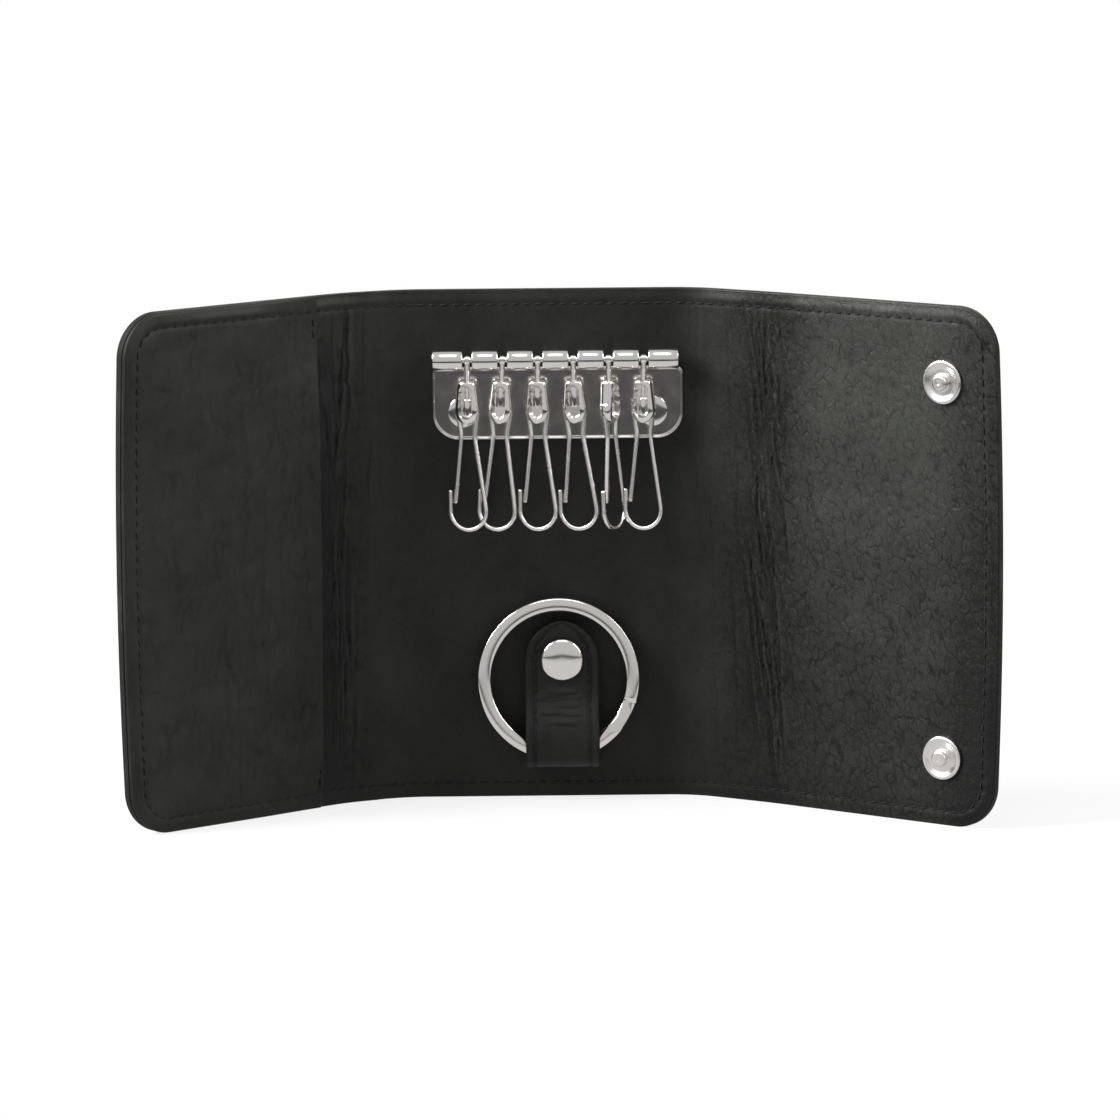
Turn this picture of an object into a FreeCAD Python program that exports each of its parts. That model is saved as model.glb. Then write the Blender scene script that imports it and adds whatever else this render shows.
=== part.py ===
import FreeCAD, Part
import math
import os
from FreeCAD import Vector, Matrix

# Case, in mm. X runs along the rail, -Y faces the reader, Z is up.
case_height = 101.0
panel_thick = 2.4
lining_thick = 1.0
left_fold_x = -30.5
right_fold_x = 26.5
left_spine_width = 12.8
snap_gap = 2.2
left_wing_width = 53.35
right_wing_width = 52.9
corner_radius = 8.8
edge_bulge = 0.9
fold_clear = 0.08

# Fold angles of the open case as it stands, in degrees
left_spine_angle = 22.5
left_wing_angle = 15.5
right_spine_angle = 31.5
right_wing_angle = 4.5

# Stiffening boards and slip pocket
board_thick = 0.5
board_inset = 8.0
board_side = 3.0
wing_board_start = 6.0
pocket_thick = 1.1
pocket_gap = 0.35
pocket_mouth = 5.2
pocket_border = 5.0

# Key rail
rail_end = 7.3
rail_x = 0.1
rod_top_edge = 13.5
rail_below_rod = 16.0
rail_thick = 0.7
rail_corner = 5.2
rail_rim = 0.7
rod_stand = 3.1
rod_radius = 0.5
knuckle_radius = 2.1
knuckle_gap = 1.84
end_knuckle = 5.9
rivet_end = 5.95
rivet_bottom = 5.4
rivet_head_radius = 3.0
rivet_head_height = 0.4
rivet_radius = 1.2
washer_thick = 0.4
face_drop = 0.2
neck_height = 1.2
plate_lap = 0.4

# Hooks. Heights are measured down from the rod.
hook_pitch = 6.9
hook_row_x = -0.35
hook_lean_angle = (0.0, -2.46, -0.35, 1.74, 1.87, -0.5)
hook_turn_angle = (18.5, 18.5, 18.0, 16.0, -55.0, 19.5)
hook_swing_angle = 3.5
wire_radius = 0.45
eye_radius = 1.0
eye_thick = 1.2
run_clear = 0.05
post_radius = 0.55
head_radius = 0.975
head_top = (7.6, 5.2, 5.2, 5.2, 5.2, 7.6)
head_bottom = (11.0, 9.3, 9.3, 9.3, 9.3, 11.0)
ferrule_top = 4.1
ferrule_wide = 9.8
ferrule_bottom = 12.5
ferrule_half_top = 1.8
ferrule_half_wide = 2.45
ferrule_half_depth = 1.5
bend_drop = 29.6
bend_radius = 3.65
hook_tip = 25.7
wire_root_x = 1.85
wire_root_drop = 8.9
knee_drop = 11.2
waist_drop = 15.1
waist_right = 1.45
waist_left = 1.3
knee_bend = 3.0
waist_bend = 5.0
gate_pivot_x = -1.8
gate_pivot_drop = 9.0
gate_root_radius = 0.6
gate_root_half = 0.8
gate_tip = 27.9
gate_gap = 0.13
rim_round = 0.5
window_half = 1.35
window_lip = 1.0
window_depth = 1.05
chamber_clear = 0.08
chamber_room = 0.5
slot_clear = 0.07
slot_room = 1.3

# Split ring and strap
ring_radius = 16.0
ring_band = 2.7
coil_thick = 1.2
coil_gap = 0.2
ring_x = -0.2
ring_lean_angle = 5.4
ring_clear = 0.08
split_angle = -16.0
split_notch_angle = 3.0
joggle_angle = 24.0
strap_width = 14.5
strap_thick = 1.1
strap_x = 0.5
loop_z = 10.85
flap_rise = 1.75
flap_bend_z = 22.0
strap_shoulder_z = 27.8
strap_top_z = 35.8
strap_back_drop = 0.8
strap_tip_flat = 0.6
flap_clear = 0.7
snap_z = 28.2

# Snaps
stud_radius = 4.3
stud_height = 0.8
knob_radius = 1.6
knob_height = 1.9
socket_radius = 4.1
socket_height = 1.3
snap_clear = 0.12
snap_post_radius = 1.0
snap_flange_radius = 2.6
snap_flange_thick = 0.35
cap_radius = 4.15
cap_height = 1.5
strap_stud_radius = 3.7
strap_stud_flange = 0.5
strap_socket_radius = 3.8
strap_socket_height = 1.7
socket_wall = 0.4
snap_round = 0.3
rim_width = 0.4
dish_width = 0.6
dish_depth = 0.35
cap_rim = 0.35
cap_shoulder = 0.7
cap_crown = 1.1
socket_floor = 0.2
snap_lift = 0.1
stud_edge = 12.4
stud_bottom_edge = 13.3
stud_top_edge = 14.7

# Values that follow
half = panel_thick / 2
split_y = -half + lining_thick
board_y = split_y + board_thick
right_spine_width = left_spine_width + panel_thick + snap_gap
fold_cut = half + fold_clear
rod_z = case_height - rod_top_edge
rail_bottom_z = rod_z - rail_below_rod
rail_width = 5 * hook_pitch + 2 * rail_end
rivet_x = rail_width / 2 - rivet_end
rivet_z = rail_bottom_z + rivet_bottom
rod_y = -half - rod_stand
rail_front = -half - rail_thick
strap_front = -half - strap_thick
ring_mid = ring_radius - ring_band / 2
ring_half_axial = coil_thick + coil_gap / 2
strap_reach = strap_width / 2 + abs(strap_x - ring_x)
ring_chord = math.sqrt((ring_radius - ring_band) ** 2 - strap_reach ** 2)
ring_drop = (ring_radius + ring_chord) / 2
loop_radius = math.hypot((ring_radius - ring_chord) / 2, ring_half_axial) + ring_clear
loop_y = strap_front - loop_radius
flap_pivot_z = loop_z + flap_rise
flap_y = loop_y - loop_radius - strap_thick / 2
flap_back_y = strap_front - strap_stud_flange - snap_lift - strap_socket_height
flap_mid_y = flap_back_y - strap_thick / 2
stud_u = right_wing_width - stud_edge
socket_u = right_fold_x - stud_u - left_fold_x
hook_x = [hook_row_x + (k - 2.5) * hook_pitch for k in range(6)]


def block(x0, x1, y0, y1, z0, z1):
    """Box between two corners."""
    return Part.makeBox(x1 - x0, y1 - y0, z1 - z0, Vector(x0, y0, z0))


def rod(point, direction, radius, length):
    """Cylinder from a point along a direction."""
    return Part.makeCylinder(radius, length, Vector(*point), Vector(*direction))


def prism(edges, y0, y1):
    """Closed outline drawn at y0 and drawn out to y1."""
    face = Part.Face(Part.Wire(edges))
    return face.extrude(Vector(0, y1 - y0, 0))


def line(a, b):
    return Part.LineSegment(Vector(*a), Vector(*b)).toShape()


def arc(a, b, c):
    return Part.Arc(Vector(*a), Vector(*b), Vector(*c)).toShape()


def turned(profile, point, direction):
    """Solid of revolution of (radius, height) points about a direction."""
    ends = [Vector(r, 0, h) for r, h in profile]
    wire = Part.makePolygon(ends + [ends[0]])
    solid = Part.Face(wire).revolve(Vector(0, 0, 0), Vector(0, 0, 1), 360)
    turn = FreeCAD.Rotation(Vector(0, 0, 1), Vector(*direction))
    return solid.transformed(FreeCAD.Placement(Vector(*point), turn).toMatrix())


def moved(shape, matrix):
    return shape.transformed(matrix)


def about(point, axis, degrees):
    """Matrix that turns about an axis through a point."""
    place = FreeCAD.Placement(Vector(0, 0, 0), FreeCAD.Rotation(Vector(*axis), degrees), Vector(*point))
    return place.toMatrix()


def shift(x, y, z):
    matrix = Matrix()
    matrix.move(Vector(x, y, z))
    return matrix


def save(name, shapes):
    """Write one node, a solid or a group of solids."""
    group = shapes if isinstance(shapes, list) else [shapes]
    solids = [s for shape in group for s in shape.Solids]
    shape = solids[0] if len(solids) == 1 else Part.makeCompound(solids)
    shape.exportStep("parts/" + name + ".step")
    nodes[name] = shape


# Places of the panels as the case stands open
left_spine_place = about((left_fold_x, 0, 0), (0, 0, 1), left_spine_angle).multiply(shift(left_fold_x, 0, 0))
left_wing_place = left_spine_place.multiply(shift(-left_spine_width, 0, 0)).multiply(
    about((0, 0, 0), (0, 0, 1), left_wing_angle))
right_spine_place = about((right_fold_x, 0, 0), (0, 0, 1), -right_spine_angle).multiply(shift(right_fold_x, 0, 0))
right_wing_place = right_spine_place.multiply(shift(right_spine_width, 0, 0)).multiply(
    about((0, 0, 0), (0, 0, 1), -right_wing_angle))


def wing_outline(side, start, width, y):
    """Wing from start to its bulged, round-cornered outer edge."""
    top = case_height
    edge = width - edge_bulge
    r = corner_radius
    d = r * (1 - math.sqrt(0.5))

    def at(u, z):
        return (side * u, y, z)
    return [
        line(at(start, 0), at(edge - r, 0)),
        arc(at(edge - r, 0), at(edge - d, d), at(edge, r)),
        arc(at(edge, r), at(width, top / 2), at(edge, top - r)),
        arc(at(edge, top - r), at(edge - d, top - d), at(edge - r, top)),
        line(at(edge - r, top), at(start, top)),
        line(at(start, top), at(start, 0)),
    ]


def wing(side, start, width, y0, y1):
    return prism(wing_outline(side, start, width, y0), y0, y1)


def spine(side, width, y0, y1):
    """Strip with half-round ends on both fold axes, cut to one layer."""
    ends = sorted((0, side * width))
    solid = block(ends[0], ends[1], -half, half, 0, case_height)
    for x in ends:
        solid = solid.fuse(rod((x, 0, 0), (0, 0, 1), half, case_height))
    return solid.removeSplitter().common(block(-2 * width, 2 * width, y0, y1, 0, case_height))


def pin(x, z, radius, y0, y1):
    return rod((x, y0, z), (0, 1, 0), radius, y1 - y0)


def eyelet(x, z, y0, y1, flange_y, toward):
    """Snap post from y0 to y1 with a flange at flange_y."""
    y2 = flange_y + toward * snap_flange_thick
    post = pin(x, z, snap_post_radius, min(y0, y1), max(y0, y1))
    return post.fuse(pin(x, z, snap_flange_radius, min(flange_y, y2), max(flange_y, y2))).removeSplitter()


nodes = {}
os.makedirs("parts", exist_ok=True)

# Centre panel
cx0 = left_fold_x + fold_cut
cx1 = right_fold_x - fold_cut
rivets_at = [(rail_x - rivet_x, rivet_z), (rail_x + rivet_x, rivet_z)]
bx0 = cx0 + board_side
bx1 = cx1 - board_side
bz0 = board_inset
bz1 = case_height - board_inset
lining_centre = block(cx0, cx1, -half, split_y, 0, case_height)
board_centre = block(bx0, bx1, split_y, board_y, bz0, bz1)
shell_centre = block(cx0, cx1, split_y, half, 0, case_height)
shell_centre = shell_centre.cut(block(bx0, bx1, split_y, board_y, bz0, bz1))
for x, z in rivets_at:
    lining_centre = lining_centre.cut(pin(x, z, rivet_radius, -half, split_y))
    board_centre = board_centre.cut(pin(x, z, rivet_radius, split_y, board_y))
    shell_centre = shell_centre.cut(pin(x, z, rivet_head_radius, board_y, board_y + washer_thick))
save("lining_centre", lining_centre)
save("board_centre", board_centre)
save("shell_centre", shell_centre)

# Spines
for name, side, width, place in (
        ("left_spine", -1, left_spine_width, left_spine_place),
        ("right_spine", 1, right_spine_width, right_spine_place)):
    save("lining_" + name, moved(spine(side, width, -panel_thick, split_y), place))
    save("shell_" + name, moved(spine(side, width, split_y, panel_thick), place))

# Left wing with its pocket and the sockets on its outside
snap_zs = (stud_bottom_edge, case_height - stud_top_edge)
lu1 = left_wing_width - board_inset
lining = wing(-1, fold_cut, left_wing_width, -half, split_y)
board = block(-lu1, -wing_board_start, split_y, board_y, bz0, bz1)
shell = wing(-1, fold_cut, left_wing_width, split_y, half).cut(board)
sockets = []
socket_posts = []
bore = knob_radius + snap_clear
socket_profile = [(bore, 0), (socket_radius, 0), (socket_radius, socket_height - snap_round),
                  (socket_radius - snap_round, socket_height), (bore + snap_round, socket_height),
                  (bore, socket_height - snap_round)]
for z in snap_zs:
    board = board.cut(pin(-socket_u, z, snap_flange_radius, split_y, board_y))
    shell = shell.cut(pin(-socket_u, z, snap_post_radius, board_y, half))
    sockets.append(moved(turned(socket_profile, (-socket_u, half, z), (0, 1, 0)), left_wing_place))
    post = eyelet(-socket_u, z, board_y, half, board_y, -1)
    post = post.fuse(pin(-socket_u, z, bore, half, half + socket_floor)).removeSplitter()
    socket_posts.append(moved(post, left_wing_place))
pocket = wing(-1, fold_cut + pocket_mouth, left_wing_width, -half - pocket_thick, -half)
room = block(-left_wing_width + pocket_border, 0, -half - pocket_gap, -half,
             pocket_border, case_height - pocket_border)
save("lining_left_wing", moved(lining, left_wing_place))
save("board_left_wing", moved(board, left_wing_place))
save("shell_left_wing", moved(shell, left_wing_place))
save("pocket_panel", moved(pocket.cut(room), left_wing_place))
save("wing_sockets", sockets)
save("wing_socket_posts", socket_posts)

# Right wing with its studs
ru1 = right_wing_width - board_inset
lining = wing(1, fold_cut, right_wing_width, -half, split_y)
board = block(wing_board_start, ru1, split_y, board_y, bz0, bz1)
shell = wing(1, fold_cut, right_wing_width, split_y, half).cut(board)
studs = []
stud_posts = []
dish_radius = stud_radius - snap_round - rim_width
stud_profile = [(0, 0), (stud_radius, 0), (stud_radius, stud_height - snap_round),
                (stud_radius - snap_round, stud_height), (dish_radius, stud_height),
                (dish_radius - dish_width, stud_height - dish_depth),
                (knob_radius, stud_height - dish_depth), (knob_radius, knob_height - snap_round),
                (knob_radius - snap_round, knob_height), (0, knob_height)]
for z in snap_zs:
    lining = lining.cut(pin(stud_u, z, snap_post_radius, -half, split_y))
    board = board.cut(pin(stud_u, z, snap_post_radius, split_y, board_y))
    shell = shell.cut(pin(stud_u, z, snap_flange_radius, board_y, board_y + snap_flange_thick))
    studs.append(moved(turned(stud_profile, (stud_u, -half, z), (0, -1, 0)), right_wing_place))
    stud_posts.append(moved(eyelet(stud_u, z, -half, board_y, board_y, 1), right_wing_place))
save("lining_right_wing", moved(lining, right_wing_place))
save("board_right_wing", moved(board, right_wing_place))
save("shell_right_wing", moved(shell, right_wing_place))
save("wing_studs", studs)
save("wing_stud_posts", stud_posts)

# Key rail
rail_left = rail_x - rail_width / 2
rail_right = rail_x + rail_width / 2
plate_top = rod_z - knuckle_radius + plate_lap
knuckle_left = hook_x[0] - knuckle_gap / 2 - end_knuckle
knuckle_right = hook_x[5] + knuckle_gap / 2 + end_knuckle


def rail_outline(inset, y):
    """Plate outline with round lower corners, drawn in by an inset."""
    x0, x1 = rail_left + inset, rail_right - inset
    z0, z1 = rail_bottom_z + inset, plate_top
    r = rail_corner - inset
    d = r * (1 - math.sqrt(0.5))
    return [
        line((x0, y, z1), (x0, y, z0 + r)),
        arc((x0, y, z0 + r), (x0 + d, y, z0 + d), (x0 + r, y, z0)),
        line((x0 + r, y, z0), (x1 - r, y, z0)),
        arc((x1 - r, y, z0), (x1 - d, y, z0 + d), (x1, y, z0 + r)),
        line((x1, y, z0 + r), (x1, y, z1)),
        line((x1, y, z1), (x0, y, z1)),
    ]


rail = prism(rail_outline(0, rail_front), rail_front, -half)
rail = rail.cut(prism(rail_outline(rail_rim, rail_front), rail_front, rail_front + face_drop))
starts = [knuckle_left] + [x + knuckle_gap / 2 for x in hook_x]
ends = [x - knuckle_gap / 2 for x in hook_x] + [knuckle_right]
for x0, x1 in zip(starts, ends):
    rail = rail.fuse(rod((x0, rod_y, rod_z), (1, 0, 0), knuckle_radius, x1 - x0))
    rail = rail.fuse(block(x0, x1, rod_y + knuckle_radius / 2, -half, plate_top - neck_height, rod_z))
rail = rail.cut(rod((knuckle_left, rod_y, rod_z), (1, 0, 0), rod_radius, knuckle_right - knuckle_left))
rivets = []
washers = []
rivet_seat = rail_front + face_drop
for x, z in rivets_at:
    rail = rail.cut(pin(x, z, rivet_radius, rail_front, -half))
    dome = turned([(0, 0), (rivet_head_radius, 0), (0.9 * rivet_head_radius, 0.7 * rivet_head_height),
                   (0.63 * rivet_head_radius, rivet_head_height), (0, rivet_head_height)],
                  (x, rivet_seat, z), (0, -1, 0))
    rivets.append(dome.fuse(pin(x, z, rivet_radius, rivet_seat, board_y + washer_thick)).removeSplitter())
    ring_washer = pin(x, z, rivet_head_radius, board_y, board_y + washer_thick)
    washers.append(ring_washer.cut(pin(x, z, rivet_radius, board_y, board_y + washer_thick)))
save("rail_plate", rail.removeSplitter())
save("rail_rod", rod((knuckle_left, rod_y, rod_z), (1, 0, 0), rod_radius, knuckle_right - knuckle_left))
save("rail_rivets", rivets)
save("rivet_washers", washers)


def bent_wire(corners, bends, last=None):
    """Round wire along straight runs with tangent arcs at its corners.

    Corners are (x, drop) points and bends the radii at the inner ones. A last
    edge list goes on from the end of the runs.
    """
    edges = []
    start = Vector(corners[0][0], 0, -corners[0][1])
    for i, radius in enumerate(bends):
        a, b, c = (Vector(x, 0, -d) for x, d in corners[i:i + 3])
        back = (a - b).normalize()
        on = (c - b).normalize()
        half_turn = (math.pi - back.getAngle(on)) / 2
        reach = radius * math.tan(half_turn)
        inward = (back + on).normalize()
        top = b + inward * (radius / math.cos(half_turn) - radius)
        edges.append(Part.LineSegment(start, b + back * reach).toShape())
        edges.append(Part.Arc(b + back * reach, top, b + on * reach).toShape())
        start = b + on * reach
    end = Vector(corners[-1][0], 0, -corners[-1][1])
    edges.append(Part.LineSegment(start, end).toShape())
    path = Part.Wire(edges + (last or []))
    tangent = Vector(corners[1][0] - corners[0][0], 0, corners[0][1] - corners[1][1])
    ring = Part.Wire(Part.Circle(Vector(corners[0][0], 0, -corners[0][1]), tangent, wire_radius).toShape())
    solid = path.makePipeShell([ring], True, False).Solids[0]
    print("wire length", round(path.Length, 3), "volume share",
          round(solid.Volume / (path.Length * math.pi * wire_radius ** 2), 5))
    return solid


# One hook, drawn hanging from the origin with its bend to the left
reach = math.hypot(waist_right, bend_drop - waist_drop)
lean_in = math.atan2(waist_right, bend_drop - waist_drop) + math.acos(bend_radius / reach)
meet = (bend_radius * math.sin(lean_in), bend_drop - bend_radius * math.cos(lean_in))
bend = [arc((meet[0], 0, -meet[1]), (0, 0, -bend_drop - bend_radius), (-bend_radius, 0, -bend_drop)),
        line((-bend_radius, 0, -bend_drop), (-bend_radius, 0, -hook_tip))]
hook_wire = bent_wire([(wire_root_x, wire_root_drop), (wire_root_x, knee_drop), (waist_right, waist_drop), meet],
                      [knee_bend, waist_bend], bend)
gate_end = (2 * wire_radius + gate_gap - bend_radius, gate_tip)
hook_gate = bent_wire([(gate_pivot_x, gate_pivot_drop), (gate_pivot_x, knee_drop), (-waist_left, waist_drop),
                       gate_end], [knee_bend, waist_bend])
hook_gate = hook_gate.fuse(
    rod((gate_pivot_x, -gate_root_half, -gate_pivot_drop), (0, 1, 0), gate_root_radius, 2 * gate_root_half))


def hook_eye(top, bottom):
    """Eye on the rod, its post, and the post's head from top to bottom."""
    eye = rod((-eye_thick / 2, 0, 0), (1, 0, 0), eye_radius, eye_thick)
    eye = eye.fuse(rod((0, 0, 0), (0, 0, -1), post_radius, top))
    eye = eye.fuse(rod((0, 0, -top), (0, 0, -1), head_radius, bottom - top))
    bore = rod((-eye_thick, 0, 0), (1, 0, 0), rod_radius + run_clear, 2 * eye_thick)
    return eye.cut(bore).removeSplitter()


fd = ferrule_half_depth
ferrule = prism([
    line((-ferrule_half_top, -fd, -ferrule_top), (ferrule_half_top, -fd, -ferrule_top)),
    line((ferrule_half_top, -fd, -ferrule_top), (ferrule_half_wide, -fd, -ferrule_wide)),
    arc((ferrule_half_wide, -fd, -ferrule_wide), (0, -fd, -ferrule_bottom),
        (-ferrule_half_wide, -fd, -ferrule_wide)),
    line((-ferrule_half_wide, -fd, -ferrule_wide), (-ferrule_half_top, -fd, -ferrule_top)),
], -fd, fd)
rims = [e for e in ferrule.Edges if abs(abs(e.CenterOfMass.y) - fd) < 1e-6]
ferrule = ferrule.makeFillet(rim_round, rims)
chamber_top = min(head_top) - run_clear
chamber_bottom = max(head_bottom) + chamber_room
ferrule = ferrule.cut(rod((0, 0, 0), (0, 0, -1), post_radius + run_clear, chamber_top))
ferrule = ferrule.cut(rod((0, 0, -chamber_top), (0, 0, -1), head_radius + chamber_clear,
                          chamber_bottom - chamber_top))
window_top = ferrule_top + window_lip
ferrule = ferrule.cut(block(-window_half, window_half, -fd, window_depth - fd,
                            -chamber_bottom, -window_top - window_half))
ferrule = ferrule.cut(rod((0, -fd, -window_top - window_half), (0, 1, 0), window_half, window_depth))
ferrule = ferrule.cut(rod((gate_pivot_x, -gate_root_half - run_clear, -gate_pivot_drop), (0, 1, 0),
                          gate_root_radius + run_clear, 2 * (gate_root_half + run_clear)))
slot = wire_radius + slot_clear
ferrule = ferrule.cut(block(gate_pivot_x - 2 * wire_radius, gate_pivot_x + slot_room, -slot, slot,
                            -ferrule_bottom, -gate_pivot_drop))
ferrule = ferrule.cut(hook_wire).removeSplitter()


def hook_place(k):
    """Matrix that hangs hook k on the rod: swung, leant, then turned."""
    hang = shift(hook_x[k], rod_y, rod_z)
    swung = hang.multiply(about((0, 0, 0), (1, 0, 0), -hook_swing_angle))
    return swung.multiply(about((0, 0, 0), (0, 1, 0), -hook_lean_angle[k]))


def hook_turned(k):
    return hook_place(k).multiply(about((0, 0, 0), (0, 0, 1), -hook_turn_angle[k]))


for k in range(6):
    name = "hook_%d_" % (k + 1)
    save(name + "eye", moved(hook_eye(head_top[k], head_bottom[k]), hook_place(k)))
    save(name + "ferrule", moved(ferrule, hook_turned(k)))
    save(name + "wire", moved(hook_wire, hook_turned(k)))
    save(name + "gate", moved(hook_gate.removeSplitter(), hook_turned(k)))

# Split ring, drawn in the XZ plane about the origin
inner = ring_radius - ring_band
front = -ring_half_axial
back = ring_half_axial - coil_thick


def coil_section(angle, y):
    """Square section of the band at an angle, its front at y."""
    a = math.radians(angle)
    corners = [(inner, y), (ring_radius, y), (ring_radius, y + coil_thick), (inner, y + coil_thick)]
    points = [Vector(r * math.cos(a), yy, r * math.sin(a)) for r, yy in corners]
    return Part.makePolygon(points + [points[0]])


def coil(start, sweep, y):
    face = Part.Face(coil_section(start, y))
    return face.revolve(Vector(0, 0, 0), Vector(0, -1, 0), sweep)


first = coil(split_angle + split_notch_angle, 360 - joggle_angle - split_notch_angle, front)
second = coil(split_angle, 360 - joggle_angle - split_notch_angle, back)
steps = 8
sections = []
for i in range(steps + 1):
    t = i / steps
    ease = t * t * (3 - 2 * t)
    sections.append(coil_section(split_angle - joggle_angle * (1 - t), front + (back - front) * ease))
joggle = Part.makeLoft(sections, True, True)
ring = first.fuse(joggle).fuse(second).removeSplitter()
ring_place = shift(ring_x, loop_y, loop_z).multiply(about((0, 0, 0), (1, 0, 0), -ring_lean_angle)).multiply(
    shift(0, 0, ring_drop))
save("split_ring", moved(ring, ring_place))

# Strap: back layer, loop and flap
sx0 = strap_x - strap_width / 2
sx1 = strap_x + strap_width / 2


def strap_outline(bottom, drop, y):
    """Strip with a pointed round top, lowered by drop."""
    shoulder, top = strap_shoulder_z - drop, strap_top_z - drop
    hw = strap_width / 2
    tip = strap_tip_flat / 2
    mid = (0.77 * hw, shoulder + 0.59 * (top - shoulder))
    return [
        line((sx0, y, bottom), (sx1, y, bottom)),
        line((sx1, y, bottom), (sx1, y, shoulder)),
        arc((sx1, y, shoulder), (strap_x + mid[0], y, mid[1]), (strap_x + tip, y, top)),
        line((strap_x + tip, y, top), (strap_x - tip, y, top)),
        arc((strap_x - tip, y, top), (strap_x - mid[0], y, mid[1]), (sx0, y, shoulder)),
        line((sx0, y, shoulder), (sx0, y, bottom)),
    ]


strap_back = prism(strap_outline(loop_z, strap_back_drop, strap_front), strap_front, -half)
strap_back = strap_back.cut(pin(strap_x, snap_z, snap_post_radius, strap_front, -half))
strap_back = strap_back.cut(pin(strap_x, snap_z, snap_flange_radius, -half - snap_flange_thick, -half))
loop_outer = loop_radius + strap_thick
flap_half = strap_thick / 2
loop = rod((sx0, loop_y, loop_z), (1, 0, 0), loop_outer, strap_width)
loop = loop.common(block(sx0, sx1, loop_y - loop_outer, loop_y + loop_outer, loop_z - loop_outer, loop_z))
loop = loop.fuse(block(sx0, sx1, loop_y - loop_outer, loop_y - loop_radius, loop_z, flap_pivot_z))
loop = loop.cut(rod((sx0, loop_y, loop_z), (1, 0, 0), loop_radius, strap_width))
loop = loop.cut(rod((sx0, flap_y, flap_pivot_z), (1, 0, 0), flap_half + run_clear, strap_width))
loop = loop.cut(block(sx0, sx1, flap_y - strap_thick, flap_y, flap_pivot_z - flap_half - flap_clear,
                      flap_pivot_z + flap_half))
save("strap_back", strap_back)
save("strap_loop", loop.removeSplitter())
rise = math.atan2(flap_mid_y - flap_y, flap_bend_z - flap_pivot_z)
lower = block(sx0, sx1, -flap_half, flap_half, 0, math.hypot(flap_mid_y - flap_y, flap_bend_z - flap_pivot_z))
lower = moved(lower, shift(0, flap_y, flap_pivot_z).multiply(about((0, 0, 0), (1, 0, 0), -math.degrees(rise))))
upper = prism(strap_outline(flap_bend_z, 0, flap_mid_y - flap_half), flap_mid_y - flap_half,
              flap_mid_y + flap_half)
flap = lower.fuse(rod((sx0, flap_y, flap_pivot_z), (1, 0, 0), flap_half, strap_width))
flap = flap.fuse(rod((sx0, flap_mid_y, flap_bend_z), (1, 0, 0), flap_half, strap_width)).fuse(upper)
flap = flap.cut(pin(strap_x, snap_z, snap_post_radius, flap_mid_y - flap_half, flap_mid_y + flap_half))
save("strap_flap", flap.removeSplitter())

# Strap snap
cap = turned([(0, 0), (cap_radius, 0), (cap_radius, cap_rim), (0.94 * cap_radius, cap_shoulder),
              (0.78 * cap_radius, cap_crown), (0.52 * cap_radius, (cap_crown + 2 * cap_height) / 3), (0, cap_height)],
             (strap_x, flap_mid_y - flap_half, snap_z), (0, -1, 0))
cap = cap.fuse(pin(strap_x, snap_z, snap_post_radius, flap_mid_y - flap_half, flap_back_y)).removeSplitter()
save("strap_snap_cap", cap)
top = strap_socket_height
save("strap_snap_socket", turned([(0, 0), (strap_socket_radius, 0), (strap_socket_radius, top - snap_round),
                                  (strap_socket_radius - snap_round, top), (bore + snap_round, top),
                                  (bore, top - snap_round),
                                  (bore, socket_wall), (0, socket_wall)],
                                 (strap_x, flap_back_y, snap_z), (0, 1, 0)))
knob_top = strap_stud_flange + snap_lift + top - socket_wall - snap_clear
save("strap_snap_stud", turned([(0, 0), (strap_stud_radius, 0), (strap_stud_radius, strap_stud_flange),
                                (knob_radius, strap_stud_flange), (knob_radius, knob_top - snap_round),
                                (knob_radius - snap_round, knob_top), (0, knob_top)],
                               (strap_x, strap_front, snap_z), (0, -1, 0)))
save("strap_snap_post", eyelet(strap_x, snap_z, strap_front, -half, -half, -1))
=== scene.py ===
"""Looks of the trifold key case: leather skins, stitches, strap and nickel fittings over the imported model."""
import bpy
import math
import numpy as np
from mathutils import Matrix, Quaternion, Vector


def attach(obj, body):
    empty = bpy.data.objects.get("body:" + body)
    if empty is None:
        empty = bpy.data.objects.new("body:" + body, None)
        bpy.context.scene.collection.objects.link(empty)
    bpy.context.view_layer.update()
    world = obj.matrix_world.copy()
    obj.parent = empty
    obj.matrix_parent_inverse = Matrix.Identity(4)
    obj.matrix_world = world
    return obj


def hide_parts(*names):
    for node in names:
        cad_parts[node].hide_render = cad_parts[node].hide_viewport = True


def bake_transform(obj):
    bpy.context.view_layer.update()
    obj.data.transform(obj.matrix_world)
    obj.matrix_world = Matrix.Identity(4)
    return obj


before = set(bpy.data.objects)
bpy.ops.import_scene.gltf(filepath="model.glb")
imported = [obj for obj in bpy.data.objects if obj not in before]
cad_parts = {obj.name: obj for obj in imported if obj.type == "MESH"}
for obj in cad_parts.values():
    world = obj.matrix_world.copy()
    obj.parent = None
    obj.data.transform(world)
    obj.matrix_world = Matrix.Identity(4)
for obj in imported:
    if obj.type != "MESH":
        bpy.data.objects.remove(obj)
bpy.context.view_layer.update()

# Sizes of the case in mm, as in the part. A fold is its place, its degrees and half the width of its bend
height = 101.0
half = 1.2
glue_q = -0.2
corner = 8.8
bulge = 0.9
left_folds = ((30.5, 22.5, 4.5), (43.3, 15.5, 4.5))
right_folds = ((26.5, 31.5, 5.2), (43.9, 4.5, 5.0))
left_outer, right_outer = 96.65, 96.8
left_cut, middle_cut, right_cut = -36.9, -2.0, 35.2
pocket_mouth, pocket_thick = 49.78, 1.1
seam_inset, seam_pitch = 2.9, 2.3

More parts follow.
